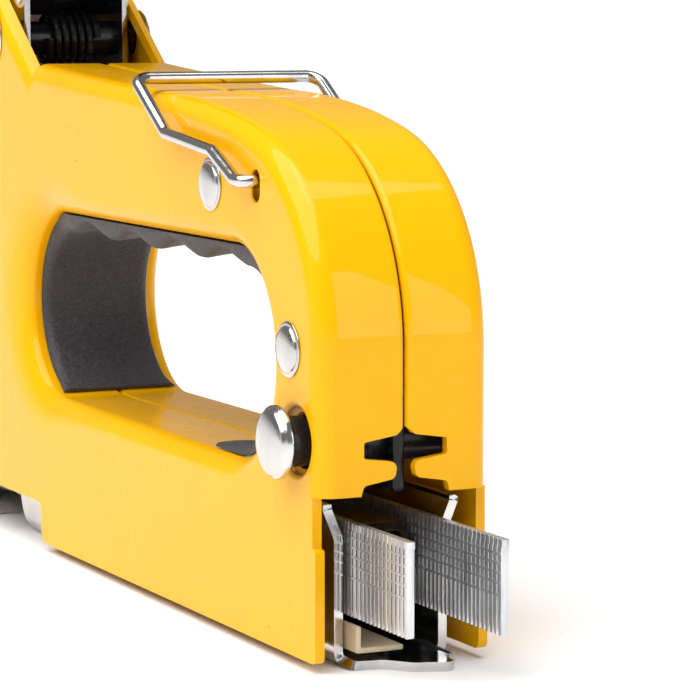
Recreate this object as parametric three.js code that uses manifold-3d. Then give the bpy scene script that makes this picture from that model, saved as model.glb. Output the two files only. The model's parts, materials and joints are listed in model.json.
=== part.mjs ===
// Three-way hand staple gun of pressed steel: two half shells, a squeeze lever, a wire bail and a
// rear-loading magazine with two strips of T-nails. Millimetres, +Z up. The nose points towards -X,
// the gun's left side towards -Y. The origin is on the underside of the magazine floor, under its middle.
import * as THREE from 'three';
import { mergeVertices } from 'three/addons/utils/BufferGeometryUtils.js';
import Module from 'manifold-3d';

const wasm = await Module();
wasm.setup();

// ---- driving dimensions -------------------------------------------------------------------------
const WIDTH = 28;              // over the two shells
const HALF = WIDTH / 2;
const SHEET = 1.5;             // thickness of the shells' steel
const EDGE_R = 3.5;            // outside radius of the pressed edges
const SEAM = 0.3;              // gap between the two shells on the middle plane
const GAP = 0.3;               // clearance between neighbours

const REAR_X = 68;             // outside of the rear wall
const FRONT_X = -104;          // outside of the front wall
const SKIRT_Z = 1.5;           // lower edge of the skirts beside the magazine
const SKIRT_FRONT_X = -47;
const FRONT_BOTTOM_Z = 8.5;    // lower edge of the shells in front of the skirts
const REAR_WALL_Z = 25.7;      // lower edge of the rear wall
const TOP_Z = 82.1;            // top of the body bar over the middle
const SLOT_REAR_X = -51;       // rear edge of the lever slot
const SLOT_FRONT_X = -84;
const EAR_Z = 84.2;            // top edge of the ears at the rear of the slot
const TOWER_Z = 110.5;         // top of the spring tower

const OPENING = { x0: -57, x1: 51, z0: 27.5, z1: 60 };   // finger opening, a slot with round ends
const OPENING_R = (OPENING.z1 - OPENING.z0) / 2;
const OPENING_MID_Z = (OPENING.z1 + OPENING.z0) / 2;

const REAR_CORNER_R = 32;      // the big round of the rear top corner
const FRONT_CORNER_R = 8;
const SKIRT_STEP = { z: 17.7, lower: 1, upper: 2 };      // how far the skirts' rear edges stand in
const NOSE_SEAT = { half: 10.8, top: 30.3, depth: 8 };
// The opening in the rear wall: a wide slot over two tabs, with a narrow throat between them.
const REAR_SLOT = { half: 6.7, z0: 30.7, z1: 33.9, peak: 35.4, throat: 1.3, mouth: 6.4, mouthZ: 27.2 };
const GRIP = {
  half: 11.5, edgeR: 1.2, rear: 2.2, front: 3.4, ridge: 3.6, hollow: 1, ridges: [-40, -21, -2, 17],
};
const LEVER_PIVOT = { x: -69.5, z: 89.5 };
const LEVER_OPEN = THREE.MathUtils.degToRad(40);
const LEVER_HALF = 10.8;       // half width over the lever's flanges
const LEVER_SHEET = 2;
const ARM = 28.2;              // pivot to the centre of the lifting tip

const BAIL_PIVOT = { x: 46.3, z: 70 };
const WIRE_R = 1;
const BAIL_Y = 16.05;          // centre of the bail's legs

const RIVETS = {
  rear_upper: { x: 29.7, z: 68.7 },
  rear_lower: { x: 58, z: 46.3 },
  front_upper: { x: -78, z: 62 },
  front_lower: { x: -78, z: 36 },
};
const RIVET_R = 2;
const RIVET_HEAD = { r: 4.1, h: 1.1 };
const SPACER_R = 4;
const LEVER_PIN = { r: 3, headR: 5, headH: 1.4 };
const RETURN_SPRING = { r: 4.2, wire: 0.6, turns: 4, length: 9 };
const BUTTON = { x: 60, z: 33.2, headR: 5.4, pinR: 3.7, face: -18.9, back: -16, pinEnd: 11.6 };
const LATCH = { x0: 54, x1: 65.9, half: 1, z0: 25.6, z1: 40 };

const DRIVE_X = -91.5;         // axis of the main spring
const BLADE_X = -101.4;        // middle of the driver blade
const SPRING = { r: 5.5, wire: 1, z0: 34.3, z1: 104.2, turns: 9 };
const SPRING_SEAT = { r: 6.3, z0: 104.5, z1: 106.3 };
const SCREW = { shankR: 2.7, headR: 6.3, headH: 6 };
const CARRIER = { x0: -100.3, x1: -86, wall: 1.3, half: 8.2, z0: 31.5, z1: 86.5, footZ: 34 };
const LUG = { x1: -96.2, half: 10.8, z0: 82, z1: 84.5 };
const BLADE = { thick: 1.2, half: 7.1, z0: 2.6, z1: 62 };
const BUFFER = { x0: -100, x1: -84, half: 7.6, z0: 25.5, z1: 31.2 };
const NOSE = {
  half: 10.5, wall: 1.5, face: 1.7, rear: -86.3, top: 30, sideTop: 24.2, blockX: -100.2, blockZ: 6.8,
};

const CHANNEL = {
  half: 9.2, wall: 1.4, top: 24.1, flareZ: 20.5, flare: 1.8, rear: 63.2, front: -85.6, lip: -62,
};
const RAIL = { front: -85, rear: 61.5, low: 3.9, z: 19.7, half: 5.2, wall: 1.2 };
const NAIL = { z0: 7.6, z1: 21.4, pitch: 1.27, y: 6.5, thick: 1.2, head: 1.2, gap: 0.5, count: 58 };
const GUIDE = { x0: -60, x1: 67, side: -7.4, inner: 0.2, z0: 2.6, z1: 6.6, wall: 0.8 };

// ---- small tools --------------------------------------------------------------------------------
const toSolid = (geometry) => {
  const bare = geometry.clone();
  bare.deleteAttribute('normal');
  bare.deleteAttribute('uv');
  const merged = mergeVertices(bare, 1e-4);
  const vertProperties = new Float32Array(merged.attributes.position.array);
  const triVerts = new Uint32Array(merged.index.array);
  return new wasm.Manifold(new wasm.Mesh({ numProp: 3, vertProperties, triVerts }));
};

const toGeometry = (solid) => {
  const mesh = solid.getMesh();
  const geometry = new THREE.BufferGeometry();
  geometry.setAttribute('position', new THREE.BufferAttribute(new Float32Array(mesh.vertProperties), 3));
  geometry.setIndex(new THREE.BufferAttribute(new Uint32Array(mesh.triVerts), 1));
  geometry.computeVertexNormals();
  return geometry;
};

const box = (x0, x1, y0, y1, z0, z1) => {
  const geometry = new THREE.BoxGeometry(x1 - x0, y1 - y0, z1 - z0);
  geometry.translate((x0 + x1) / 2, (y0 + y1) / 2, (z0 + z1) / 2);
  return geometry;
};

// A side profile drawn in X and Z, made solid from y0 to y1; a bevel rounds its edges on both faces.
const plate = (shape, y0, y1, radius = 0, inset = 0, steps = 3) => {
  const geometry = new THREE.ExtrudeGeometry(shape, {
    depth: y1 - y0 - 2 * radius, bevelEnabled: radius > 0, bevelThickness: radius, bevelSize: radius,
    bevelOffset: -radius - inset, bevelSegments: steps, curveSegments: 8,
  });
  geometry.rotateX(Math.PI / 2);
  geometry.translate(0, y1 - radius, 0);
  return geometry;
};

// A section drawn in X and Y, made solid from z0 to z1.
const column = (shape, z0, z1) => {
  const depth = z1 - z0;
  const geometry = new THREE.ExtrudeGeometry(shape, { depth, bevelEnabled: false, curveSegments: 8 });
  geometry.translate(0, 0, z0);
  return geometry;
};

// A section drawn in Y and Z, made solid from x0 to x1.
const bar = (shape, x0, x1) => {
  const depth = x1 - x0;
  const geometry = new THREE.ExtrudeGeometry(shape, { depth, bevelEnabled: false, curveSegments: 6 });
  geometry.rotateX(Math.PI / 2);
  geometry.rotateZ(Math.PI / 2);
  geometry.translate(x0, 0, 0);
  return geometry;
};

// A turned piece whose axis runs along Y; the profile is a list of [radius, y].
const turned = (profile, x, z, sides = 20) => {
  const points = profile.map(([r, y]) => new THREE.Vector2(r, y));
  const geometry = new THREE.LatheGeometry(points, sides);
  geometry.translate(x, 0, z);
  return geometry;
};

// A turned piece whose axis runs along Z; the profile is a list of [radius, z].
const turnedUp = (profile, x, sides = 20) => {
  const points = profile.map(([r, z]) => new THREE.Vector2(r, z));
  const geometry = new THREE.LatheGeometry(points, sides);
  geometry.rotateX(Math.PI / 2);
  geometry.translate(x, 0, 0);
  return geometry;
};

const crossHole = (x, z, r, sides = 16) => turned([[0, -20], [r, -20], [r, 20], [0, 20]], x, z, sides);

const join = (...geometries) => geometries.map(toSolid).reduce((sum, one) => sum.add(one));
const cut = (body, ...geometries) => geometries.map(toSolid).reduce((rest, one) => rest.subtract(one), body);

const outline = (points) => {
  const shape = new THREE.Shape();
  shape.moveTo(points[0][0], points[0][1]);
  points.slice(1).forEach(([u, v]) => shape.lineTo(u, v));
  return shape;
};

class Helix extends THREE.Curve {
  constructor(radius, turns, length) {
    super();
    Object.assign(this, { radius, turns, length });
  }

  getPoint(t) {
    const a = 2 * Math.PI * this.turns * t;
    return new THREE.Vector3(this.radius * Math.cos(a), this.radius * Math.sin(a), this.length * t);
  }
}

const wireAlong = (curve, r, steps, sides = 8) => {
  const section = new THREE.Shape();
  section.absarc(0, 0, r, 0, 2 * Math.PI);
  return new THREE.ExtrudeGeometry(section, { extrudePath: curve, steps, curveSegments: sides / 2 });
};

const steel = (color, roughness = 0.3, metalness = 1) => (
  new THREE.MeshStandardMaterial({ color, roughness, metalness }));
const YELLOW = new THREE.MeshStandardMaterial({ color: 0xf6c000, roughness: 0.22, metalness: 0.0 });
const CHROME = steel(0xd9d9db, 0.15);
const ZINC = steel(0xb9bbbe, 0.35);
const BLACK_OXIDE = steel(0x17181a, 0.3, 0.8);
const RUBBER = new THREE.MeshStandardMaterial({ color: 0x2c2b2d, roughness: 0.8, metalness: 0 });
const BEIGE = new THREE.MeshStandardMaterial({ color: 0xc9b99a, roughness: 0.6, metalness: 0 });

const group = new THREE.Group();
const place = (name, geometry, material, parent = group) => {
  const mesh = new THREE.Mesh(geometry, material);
  mesh.name = name;
  parent.add(mesh);
  return mesh;
};

// ---- shells -------------------------------------------------------------------------------------
const openingPath = (path, grow = 0) => {
  path.absarc(OPENING.x1 - OPENING_R, OPENING_MID_Z, OPENING_R + grow, -Math.PI / 2, Math.PI / 2, false);
  path.absarc(OPENING.x0 + OPENING_R, OPENING_MID_Z, OPENING_R + grow, Math.PI / 2, 1.5 * Math.PI, false);
  path.closePath();
  return path;
};

const caseShape = () => {
  const shape = new THREE.Shape();
  const rearArc = THREE.MathUtils.degToRad(75);
  const rearArcZ = TOP_Z - 35.6;
  const below = SKIRT_Z - 2 * EDGE_R;
  shape.moveTo(REAR_X, below);
  shape.lineTo(REAR_X, rearArcZ);
  shape.absarc(REAR_X - REAR_CORNER_R, rearArcZ, REAR_CORNER_R, 0, rearArc, false);
  shape.quadraticCurveTo(28.5, TOP_Z - 0.5, 4, TOP_Z);
  shape.lineTo(-29, TOP_Z + 1.8);
  shape.lineTo(SLOT_REAR_X + 1, EAR_Z + 1.1);
  shape.lineTo(SLOT_REAR_X, EAR_Z);
  shape.lineTo(SLOT_FRONT_X, TOWER_Z - 2.5);
  shape.quadraticCurveTo(SLOT_FRONT_X - 3.5, TOWER_Z, SLOT_FRONT_X - 7, TOWER_Z);
  const frontArcX = FRONT_X + FRONT_CORNER_R;
  shape.lineTo(frontArcX, TOWER_Z);
  shape.absarc(frontArcX, TOWER_Z - FRONT_CORNER_R, FRONT_CORNER_R, Math.PI / 2, Math.PI, false);
  shape.lineTo(FRONT_X, below);
  shape.closePath();
  return shape;
};

const makeCase = () => {
  const shape = caseShape();
  shape.holes.push(openingPath(new THREE.Path()));
  const outside = toSolid(plate(shape, -HALF, HALF, EDGE_R));
  const hollow = plate(shape, -HALF + SHEET, HALF - SHEET, EDGE_R - SHEET, SHEET, 2);
  const inner = HALF - SHEET;
  const { half, z0, z1, peak, throat, mouth, mouthZ } = REAR_SLOT;
  const notch = outline([[-throat, z1 - 0.1], [throat, z1 - 0.1], [0, peak]]);
  const front = FRONT_X - 5;
  const rear = REAR_X + 5;
  const wall = REAR_X - 8;
  return cut(
    outside, hollow,
    box(SKIRT_FRONT_X, rear, -20, 20, -30, SKIRT_Z),                         // below the skirts
    box(front, SKIRT_FRONT_X, -20, 20, -30, FRONT_BOTTOM_Z),                 // below the front
    box(REAR_X - SKIRT_STEP.lower, rear, -20, 20, 0, SKIRT_STEP.z + 0.1),    // skirts' rear edges
    box(REAR_X - SKIRT_STEP.upper, rear, -20, 20, SKIRT_STEP.z, REAR_WALL_Z),
    box(REAR_X - 6, rear, -inner, inner, 0, REAR_WALL_Z),
    box(SLOT_FRONT_X, SLOT_REAR_X, -inner, inner, TOP_Z - 3, 130),           // lever slot
    box(front, FRONT_X + NOSE_SEAT.depth, -NOSE_SEAT.half, NOSE_SEAT.half, 0, NOSE_SEAT.top),
    box(wall, rear, -half, half, z0, z1),
    box(wall, rear, -throat, throat, 20, z0 + 0.3),
    box(wall, rear, -mouth, mouth, 20, mouthZ),
    bar(notch, wall, rear),
    ...Object.values(RIVETS).map(({ x, z }) => crossHole(x, z, RIVET_R + 0.15)),
    crossHole(BUTTON.x, BUTTON.z, BUTTON.pinR + 0.35, 24),
    crossHole(LEVER_PIVOT.x, LEVER_PIVOT.z, LEVER_PIN.r + 0.15),
    crossHole(BAIL_PIVOT.x, BAIL_PIVOT.z - 0.5, WIRE_R + 1.1, 16),
    turnedUp([[0, 100], [SCREW.shankR + 0.3, 100], [SCREW.shankR + 0.3, 130], [0, 130]], DRIVE_X),
  );
};

const caseBody = makeCase();
const leftHalf = toSolid(box(-130, 90, -20, -SEAM / 2, -5, 130));
const rightHalf = toSolid(box(-130, 90, SEAM / 2, 20, -5, 130));
place('left_shell', toGeometry(caseBody.intersect(leftHalf)), YELLOW);
place('right_shell', toGeometry(caseBody.intersect(rightHalf)), YELLOW);

// ---- grip lining of the finger opening ----------------------------------------------------------
// It covers the front, the top with its finger hollows and the rear, and thins out on the bottom.
const makeGrip = () => {
  const { x0, x1, z0, z1 } = OPENING;
  const rearCentre = x1 - OPENING_R;
  const frontCentre = x0 + OPENING_R + 1;
  const rearR = OPENING_R - GRIP.rear;
  const tailAngle = -0.87;
  const lining = openingPath(new THREE.Shape(), -GAP);
  const bore = new THREE.Shape();
  const ridges = [...GRIP.ridges, rearCentre];
  bore.moveTo(24, z0 - 2);
  bore.lineTo(26, z0 + 0.2);
  bore.quadraticCurveTo(36, z0 + 0.5, rearCentre + rearR * Math.cos(tailAngle),
    OPENING_MID_Z + rearR * Math.sin(tailAngle));
  bore.absarc(rearCentre, OPENING_MID_Z, rearR, tailAngle, Math.PI / 2, false);
  for (let i = ridges.length - 1; i > 0; i -= 1) {
    const middle = (ridges[i] + ridges[i - 1]) / 2;
    bore.quadraticCurveTo(middle, z1 - GRIP.hollow, ridges[i - 1], z1 - GRIP.ridge);
  }
  bore.absarc(frontCentre, OPENING_MID_Z, OPENING_R - GRIP.front, Math.PI / 2, 1.2 * Math.PI, false);
  bore.quadraticCurveTo(-46, z0 + 1.5, -36, z0 + 0.2);
  bore.lineTo(-36, z0 - 2);
  bore.closePath();
  return cut(toSolid(plate(lining, -GRIP.half, GRIP.half, GRIP.edgeR, 0, 2)), plate(bore, -20, 20));
};
place('grip_insert', toGeometry(makeGrip()), RUBBER);

// ---- rivets, spacers and the cross pin of the lever ---------------------------------------------
const rivetProfile = (r, headR, headH) => {
  const face = HALF + 0.1;
  const half = [[r, face], [headR, face], [headR, face + headH * 0.4], [headR * 0.7, face + headH],
    [0, face + headH]];
  return [...half.map(([a, b]) => [a, -b]).reverse(), ...half];
};
for (const [name, { x, z }] of Object.entries(RIVETS)) {
  place(`rivet_${name}`, turned(rivetProfile(RIVET_R, RIVET_HEAD.r, RIVET_HEAD.h), x, z, 16), CHROME);
  const reach = HALF - SHEET - 0.2;
  const bore = RIVET_R + 0.3;
  const sleeve = [[bore, -reach], [SPACER_R, -reach], [SPACER_R, reach], [bore, reach], [bore, -reach]];
  place(`spacer_${name}`, turned(sleeve, x, z, 12), ZINC);
}
const pinProfile = rivetProfile(LEVER_PIN.r, LEVER_PIN.headR, LEVER_PIN.headH);
place('lever_pin', turned(pinProfile, LEVER_PIVOT.x, LEVER_PIVOT.z, 24), CHROME);

// ---- lever --------------------------------------------------------------------------------------
// Its profile is drawn about the pivot with the lever squeezed shut, and then turned open.
const leverGroup = new THREE.Group();
leverGroup.position.set(LEVER_PIVOT.x, 0, LEVER_PIVOT.z);
leverGroup.rotation.y = -LEVER_OPEN;
group.add(leverGroup);

const makeLever = () => {
  const tip = new THREE.Vector2(-ARM * Math.cos(0.2985), ARM * Math.sin(0.2985));
  const tipR = 2.8;
  const shape = new THREE.Shape();
  shape.moveTo(8.7, 1.9);
  shape.lineTo(99, 1.9);
  shape.quadraticCurveTo(104, 2.5, 104, 6);
  shape.quadraticCurveTo(104, 9, 99, 9.6);
  shape.quadraticCurveTo(50, 13.5, -5.5, 12);
  shape.quadraticCurveTo(-17, 10.8, tip.x + 1, tip.y + tipR);
  shape.absarc(tip.x, tip.y, tipR, 1.2, 4.5, false);
  shape.quadraticCurveTo(-17, 1.5, -9.5, -10);
  shape.quadraticCurveTo(-6, -12.6, -2.2, -11.2);
  shape.closePath();
  const hollow = new THREE.Shape();
  hollow.moveTo(-40, -20);
  hollow.lineTo(110, -20);
  hollow.lineTo(110, 1);
  hollow.lineTo(101.5, 3.5);
  hollow.lineTo(101.5, 7.2);
  hollow.quadraticCurveTo(50, 11.4, -5.5, 10);
  hollow.lineTo(-5.5, 20);
  hollow.lineTo(-40, 20);
  hollow.closePath();
  const inner = LEVER_HALF - LEVER_SHEET;
  return cut(
    toSolid(plate(shape, -LEVER_HALF, LEVER_HALF, 1.8, 0, 3)),
    plate(hollow, -inner, inner), crossHole(0, 0, LEVER_PIN.r + 0.1, 24),
  );
};
place('lever', toGeometry(makeLever()), CHROME, leverGroup);

const makeReturnSpring = () => {
  const { r, wire, turns, length } = RETURN_SPRING;
  const coil = wireAlong(new Helix(r, turns, length), wire, 40, 6);
  coil.rotateX(Math.PI / 2);
  coil.translate(0, length / 2, 0);
  return coil;
};
place('return_spring', makeReturnSpring(), ZINC, leverGroup);

// ---- driver, spring and power screw -------------------------------------------------------------
const makeCarrier = () => {
  const { x0, x1, wall, half, z0, z1, footZ } = CARRIER;
  const face = x0 + wall;
  const inner = half - wall;
  const section = outline([[x0, -half], [x1, -half], [x1, -inner], [face, -inner], [face, inner], [x1, inner],
    [x1, half], [x0, half]]);
  return join(column(section, z0, z1), box(x0, x1 + 1, -half, half, z0, footZ),
    box(x0, LUG.x1, -LUG.half, 0.2 - half, LUG.z0, LUG.z1),
    box(x0, LUG.x1, half - 0.2, LUG.half, LUG.z0, LUG.z1));
};
place('driver_carrier', toGeometry(makeCarrier()), ZINC);
place('driver_blade', box(BLADE_X - BLADE.thick / 2, BLADE_X + BLADE.thick / 2, -BLADE.half, BLADE.half,
  BLADE.z0, BLADE.z1), steel(0x8d9096, 0.25));

const springLength = SPRING.z1 - SPRING.z0 - 2 * SPRING.wire;
const mainSpring = wireAlong(new Helix(SPRING.r, SPRING.turns, springLength), SPRING.wire, 99, 6);
mainSpring.translate(DRIVE_X, 0, SPRING.z0 + SPRING.wire);
place('main_spring', mainSpring, ZINC);
place('spring_seat', turnedUp([[0, SPRING_SEAT.z0], [SPRING_SEAT.r, SPRING_SEAT.z0],
  [SPRING_SEAT.r, SPRING_SEAT.z1], [0, SPRING_SEAT.z1]], DRIVE_X), ZINC);

const makePowerScrew = () => {
  const { shankR, headR, headH } = SCREW;
  const low = SPRING_SEAT.z1 + 0.3;
  return turnedUp([[0, low], [shankR, low], [shankR, TOWER_Z + 0.4], [headR - 0.3, TOWER_Z + 0.4],
    [headR, TOWER_Z + 1], [headR, TOWER_Z + headH - 1], [headR - 0.7, TOWER_Z + headH],
    [0, TOWER_Z + headH]], DRIVE_X, 24);
};
place('power_screw', makePowerScrew(), BLACK_OXIDE);
place('buffer_pad', box(BUFFER.x0, BUFFER.x1, -BUFFER.half, BUFFER.half, BUFFER.z0, BUFFER.z1), RUBBER);

// ---- nosepiece ----------------------------------------------------------------------------------
const makeNosepiece = () => {
  const { half, wall, face, rear, top, sideTop, blockX, blockZ } = NOSE;
  return join(
    box(FRONT_X, FRONT_X + face, -half, half, 0, top), box(FRONT_X, rear, -half, wall - half, 0, sideTop),
    box(FRONT_X, rear, half - wall, half, 0, sideTop), box(blockX, rear, 1 - half, half - 1, 0, blockZ),
  );
};
place('nosepiece', toGeometry(makeNosepiece()), CHROME);

// ---- magazine -----------------------------------------------------------------------------------
const makeChannel = () => {
  const { half, wall, top, flareZ, flare, rear, front, lip } = CHANNEL;
  const side = [[half, 0], [half, flareZ], [half + flare, flareZ + 1.8], [half + flare, top],
    [half + flare - wall, top], [half + flare - wall, flareZ + 2.2], [half - wall, flareZ + 0.4],
    [half - wall, wall]];
  const section = outline([...side, ...side.map(([y, z]) => [-y, z]).reverse()]);
  const under = new THREE.Shape();
  under.moveTo(lip, -5);
  under.lineTo(lip, 0);
  under.quadraticCurveTo(lip - 8, 0, lip - 9.5, FRONT_BOTTOM_Z - 0.2);
  under.lineTo(front - 5, FRONT_BOTTOM_Z - 0.2);
  under.lineTo(front - 5, -5);
  under.closePath();
  const tongue = new THREE.Shape();
  tongue.moveTo(rear - 3, -half);
  tongue.lineTo(rear + 0.5, -half);
  tongue.quadraticCurveTo(rear + 4, -7, rear + 7, -2);
  tongue.quadraticCurveTo(rear + 11, 2, rear + 8, 6);
  tongue.quadraticCurveTo(rear + 4, 7, rear + 4, half);
  tongue.lineTo(rear - 3, half);
  tongue.closePath();
  return cut(toSolid(bar(section, front, rear)), plate(under, -20, 20)).add(toSolid(column(tongue, 0, wall)));
};
place('magazine_channel', toGeometry(makeChannel()), CHROME);

const makeRail = () => {
  const { front, rear, low, z, half, wall } = RAIL;
  const side = outline([[front, low], [rear - 9.5, low], [rear, z - 4.5], [rear - 5, z], [front, z]]);
  return cut(toSolid(plate(side, -half, half)), box(-90, 80, wall - half, half - wall, -5, z - 1.3));
};
place('inner_rail', toGeometry(makeRail()), steel(0x6d6f73, 0.35));

// A strip is a row of glued nails. The nails that stand out of the mouth are apart below their heads,
// and those inside the magazine are one bar.
const makeStrip = (rearX) => {
  const { z0, z1, pitch, thick, head, gap, count } = NAIL;
  const apart = 18;
  const under = z1 - head;
  const edge = (pitch - gap) / 2;
  const points = [];
  for (let i = 0; i < apart; i += 1) {
    const x = rearX - edge - i * pitch;
    points.push([x, under], [x, z0], [x - pitch + gap, z0], [x - pitch + gap, under]);
  }
  const inside = rearX - edge - apart * pitch;
  const shape = outline([[rearX, z1], [rearX, under], ...points, [inside, under], [inside, z0],
    [rearX - count * pitch, z0], [rearX - count * pitch, z1]]);
  return plate(shape, -thick / 2, thick / 2);
};
place('nail_strip_left', makeStrip(82.7), ZINC).position.y = -NAIL.y;
place('nail_strip_right', makeStrip(86.3), ZINC).position.y = NAIL.y;

const makeGuide = () => {
  const { x0, x1, side, inner, z0, z1, wall } = GUIDE;
  return bar(outline([[side, z1], [side, z0], [inner, z0], [inner, z0 + wall], [side + wall, z0 + wall],
    [side + wall, z1]]), x0, x1);
};
place('nail_guide', makeGuide(), BEIGE);

// ---- release button, its pin and the latch plate ------------------------------------------------
const makeButton = () => {
  const { x, z, headR, pinR, face, back } = BUTTON;
  return turned([[0, face], [headR * 0.5, face + 0.1], [headR * 0.9, face + 0.6], [headR, face + 1.2],
    [headR, back - 0.4], [pinR - 0.4, back - 0.4], [pinR - 0.4, back - 0.1], [0, back - 0.1]], x, z, 28);
};
place('release_button', makeButton(), CHROME);

// The pin has a groove near its far end.
const makeReleasePin = () => {
  const { x, z, pinR, back, pinEnd } = BUTTON;
  const groove = pinEnd - 3;
  return turned([[0, back], [pinR, back], [pinR, groove], [pinR - 0.8, groove], [pinR - 0.8, groove + 1],
    [pinR, groove + 1], [pinR, pinEnd], [0, pinEnd]], x, z, 28);
};
place('release_pin', makeReleasePin(), BLACK_OXIDE);

const makeLatch = () => {
  const { x0, x1, half, z0, z1 } = LATCH;
  return cut(toSolid(box(x0, x1, -half, half, z0, z1)), crossHole(BUTTON.x, BUTTON.z, BUTTON.pinR + 0.3, 24));
};
place('latch_plate', toGeometry(makeLatch()), BLACK_OXIDE);

// ---- bail ---------------------------------------------------------------------------------------
const makeBail = () => {
  const { x, z } = BAIL_PIVOT;
  const leg = [[x, 9.5, z], [x, BAIL_Y - 1.2, z], [x - 1.6, BAIL_Y, z], [43, BAIL_Y, 70.3],
    [36.5, BAIL_Y, 73.3], [34, BAIL_Y, 74.1], [18.5, BAIL_Y, 75.8], [15.5, BAIL_Y, 76.8], [5.5, BAIL_Y, 83.1],
    [4, BAIL_Y - 1.6, 84.1]].map((p) => new THREE.Vector3(...p));
  const far = leg.map((p) => new THREE.Vector3(p.x, -p.y, p.z)).reverse();
  const smooth = new THREE.CatmullRomCurve3([...leg, ...far], false, 'centripetal', 0.5);
  return wireAlong(smooth, WIRE_R, 72, 8);
};
place('bail', makeBail(), CHROME);

export default group;
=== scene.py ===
"""Looks of a three-way hand staple gun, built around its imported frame.

The gun is two pressed yellow shells riveted over a chromed magazine, with a squeeze lever, a wire bail
that locks the lever, a rubber-lined finger opening and a push-button release. Sizes are millimetres
until a mesh is made, and metres after that.
"""

import json
import logging
import math
from dataclasses import dataclass, field
from enum import Enum

import bmesh
import bpy
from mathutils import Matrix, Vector
from mathutils.geometry import delaunay_2d_cdt


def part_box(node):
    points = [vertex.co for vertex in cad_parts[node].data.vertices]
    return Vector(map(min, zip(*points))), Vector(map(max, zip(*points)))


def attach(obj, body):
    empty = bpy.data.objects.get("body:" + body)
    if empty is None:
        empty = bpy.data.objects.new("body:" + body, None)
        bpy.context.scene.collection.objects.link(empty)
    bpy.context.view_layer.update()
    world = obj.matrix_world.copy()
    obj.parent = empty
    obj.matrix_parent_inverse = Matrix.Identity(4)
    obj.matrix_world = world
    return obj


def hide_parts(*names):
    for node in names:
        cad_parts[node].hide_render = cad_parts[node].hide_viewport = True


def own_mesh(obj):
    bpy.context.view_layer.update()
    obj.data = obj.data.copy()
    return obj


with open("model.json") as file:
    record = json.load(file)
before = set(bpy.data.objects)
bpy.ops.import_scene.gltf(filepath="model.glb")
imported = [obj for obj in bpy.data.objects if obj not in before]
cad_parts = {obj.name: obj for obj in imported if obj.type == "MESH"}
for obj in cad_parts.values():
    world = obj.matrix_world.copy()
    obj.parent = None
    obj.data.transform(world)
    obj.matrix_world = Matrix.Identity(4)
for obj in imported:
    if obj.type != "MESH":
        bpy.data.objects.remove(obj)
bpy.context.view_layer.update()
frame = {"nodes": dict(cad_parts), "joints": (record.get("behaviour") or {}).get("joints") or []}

LOG = logging.getLogger("staple_gun")
MM = 0.001
INSIDE_ONLY = 1                # delaunay_2d_cdt: no triangle outside the outer loop

Point = tuple[float, float]
Place = tuple[float, float, float]
Face = tuple[int, ...]


class Body(Enum):
    """The moving bodies of the frame."""

    CASE = "body"
    LEVER = "lever"
    DRIVER = "driver"
    BAIL = "bail"
    BUTTON = "button"
    STRIP_LEFT = "strip_left"
    STRIP_RIGHT = "strip_right"
    SCREW = "screw"


class Slot(Enum):
    """The record's material slots."""

    YELLOW = "yellow_paint"
    CHROME = "chrome"
    ZINC = "zinc_steel"
    DARK_STEEL = "dark_steel"
    BLACK = "black_oxide"
    RUBBER = "grip_rubber"
    BEIGE = "beige_plastic"


class Side(Enum):
    """The gun's left side looks towards -Y."""

    LEFT = -1
    RIGHT = 1


# ---- the frame in millimetres ----------------------------------------------------------------------
@dataclass(frozen=True)
class Extent:
    """The box of a CAD node at rest, in millimetres."""

    x0: float
    x1: float
    y0: float
    y1: float
    z0: float
    z1: float

    @classmethod
    def of(cls, node: str) -> "Extent":
        """The box of the named node."""
        low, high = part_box(node)
        return cls(*(value / MM for pair in zip(low, high) for value in pair))

    @property
    def mid_x(self) -> float:
        """Middle of the box along X."""
        return (self.x0 + self.x1) / 2

    @property
    def mid_z(self) -> float:
        """Middle of the box along Z."""
        return (self.z0 + self.z1) / 2


def pivot_of(joint: str) -> Place:
    """The point that a joint turns about, in millimetres."""
    found = next(j for j in frame["joints"] if j["name"] == joint)
    return tuple(value / MM for value in found["pos_m"])


# ---- outlines --------------------------------------------------------------------------------------
def arc(centre: Point, radius: float, start: float, end: float, steps: int) -> list[Point]:
    """Points along an arc.

    Args:
        centre: centre of the arc.
        radius: its radius.
        start: first angle, in degrees.
        end: last angle, in degrees.
        steps: number of chords.

    Returns:
        steps + 1 points, both ends included.
    """
    angles = (math.radians(start + (end - start) * i / steps) for i in range(steps + 1))
    return [(centre[0] + radius * math.cos(a), centre[1] + radius * math.sin(a)) for a in angles]


def curve(start: Point, pull: Point, end: Point, steps: int) -> list[Point]:
    """Points along a quadratic curve from start to end, drawn towards pull."""
    points = []
    for i in range(steps + 1):
        t = i / steps
        points.append(tuple((1 - t) ** 2 * a + 2 * t * (1 - t) * b + t * t * c
                            for a, b, c in zip(start, pull, end)))
    return points


def rounded(corners: list[tuple[float, float, float]], steps: int = 6, closed: bool = True) -> list[Point]:
    """An outline whose corners are rounded.

    Args:
        corners: (u, v, radius) of each corner; a radius of 0 leaves it sharp.
        steps: chords in each rounded corner.
        closed: whether the last corner joins the first.

    Returns:
        The points of the outline.
    """
    points: list[Point] = []
    count = len(corners)
    for i, (u, v, radius) in enumerate(corners):
        at_end = not closed and i in (0, count - 1)
        if radius == 0 or at_end:
            points.append((u, v))
            continue
        here = Vector((u, v))
        before = (Vector(corners[i - 1][:2]) - here).normalized()
        after = (Vector(corners[(i + 1) % count][:2]) - here).normalized()
        half_turn = before.angle(after) / 2
        reach = radius / math.tan(half_turn)
        start, end = here + before * reach, here + after * reach
        centre = here + (before + after).normalized() * radius / math.sin(half_turn)
        first = math.atan2(*(start - centre).yx)
        sweep = math.atan2(*(end - centre).yx) - first
        sweep = (sweep + math.pi) % (2 * math.pi) - math.pi
        for k in range(steps + 1):
            a = first + sweep * k / steps
            points.append((centre.x + radius * math.cos(a), centre.y + radius * math.sin(a)))
    return points


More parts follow.
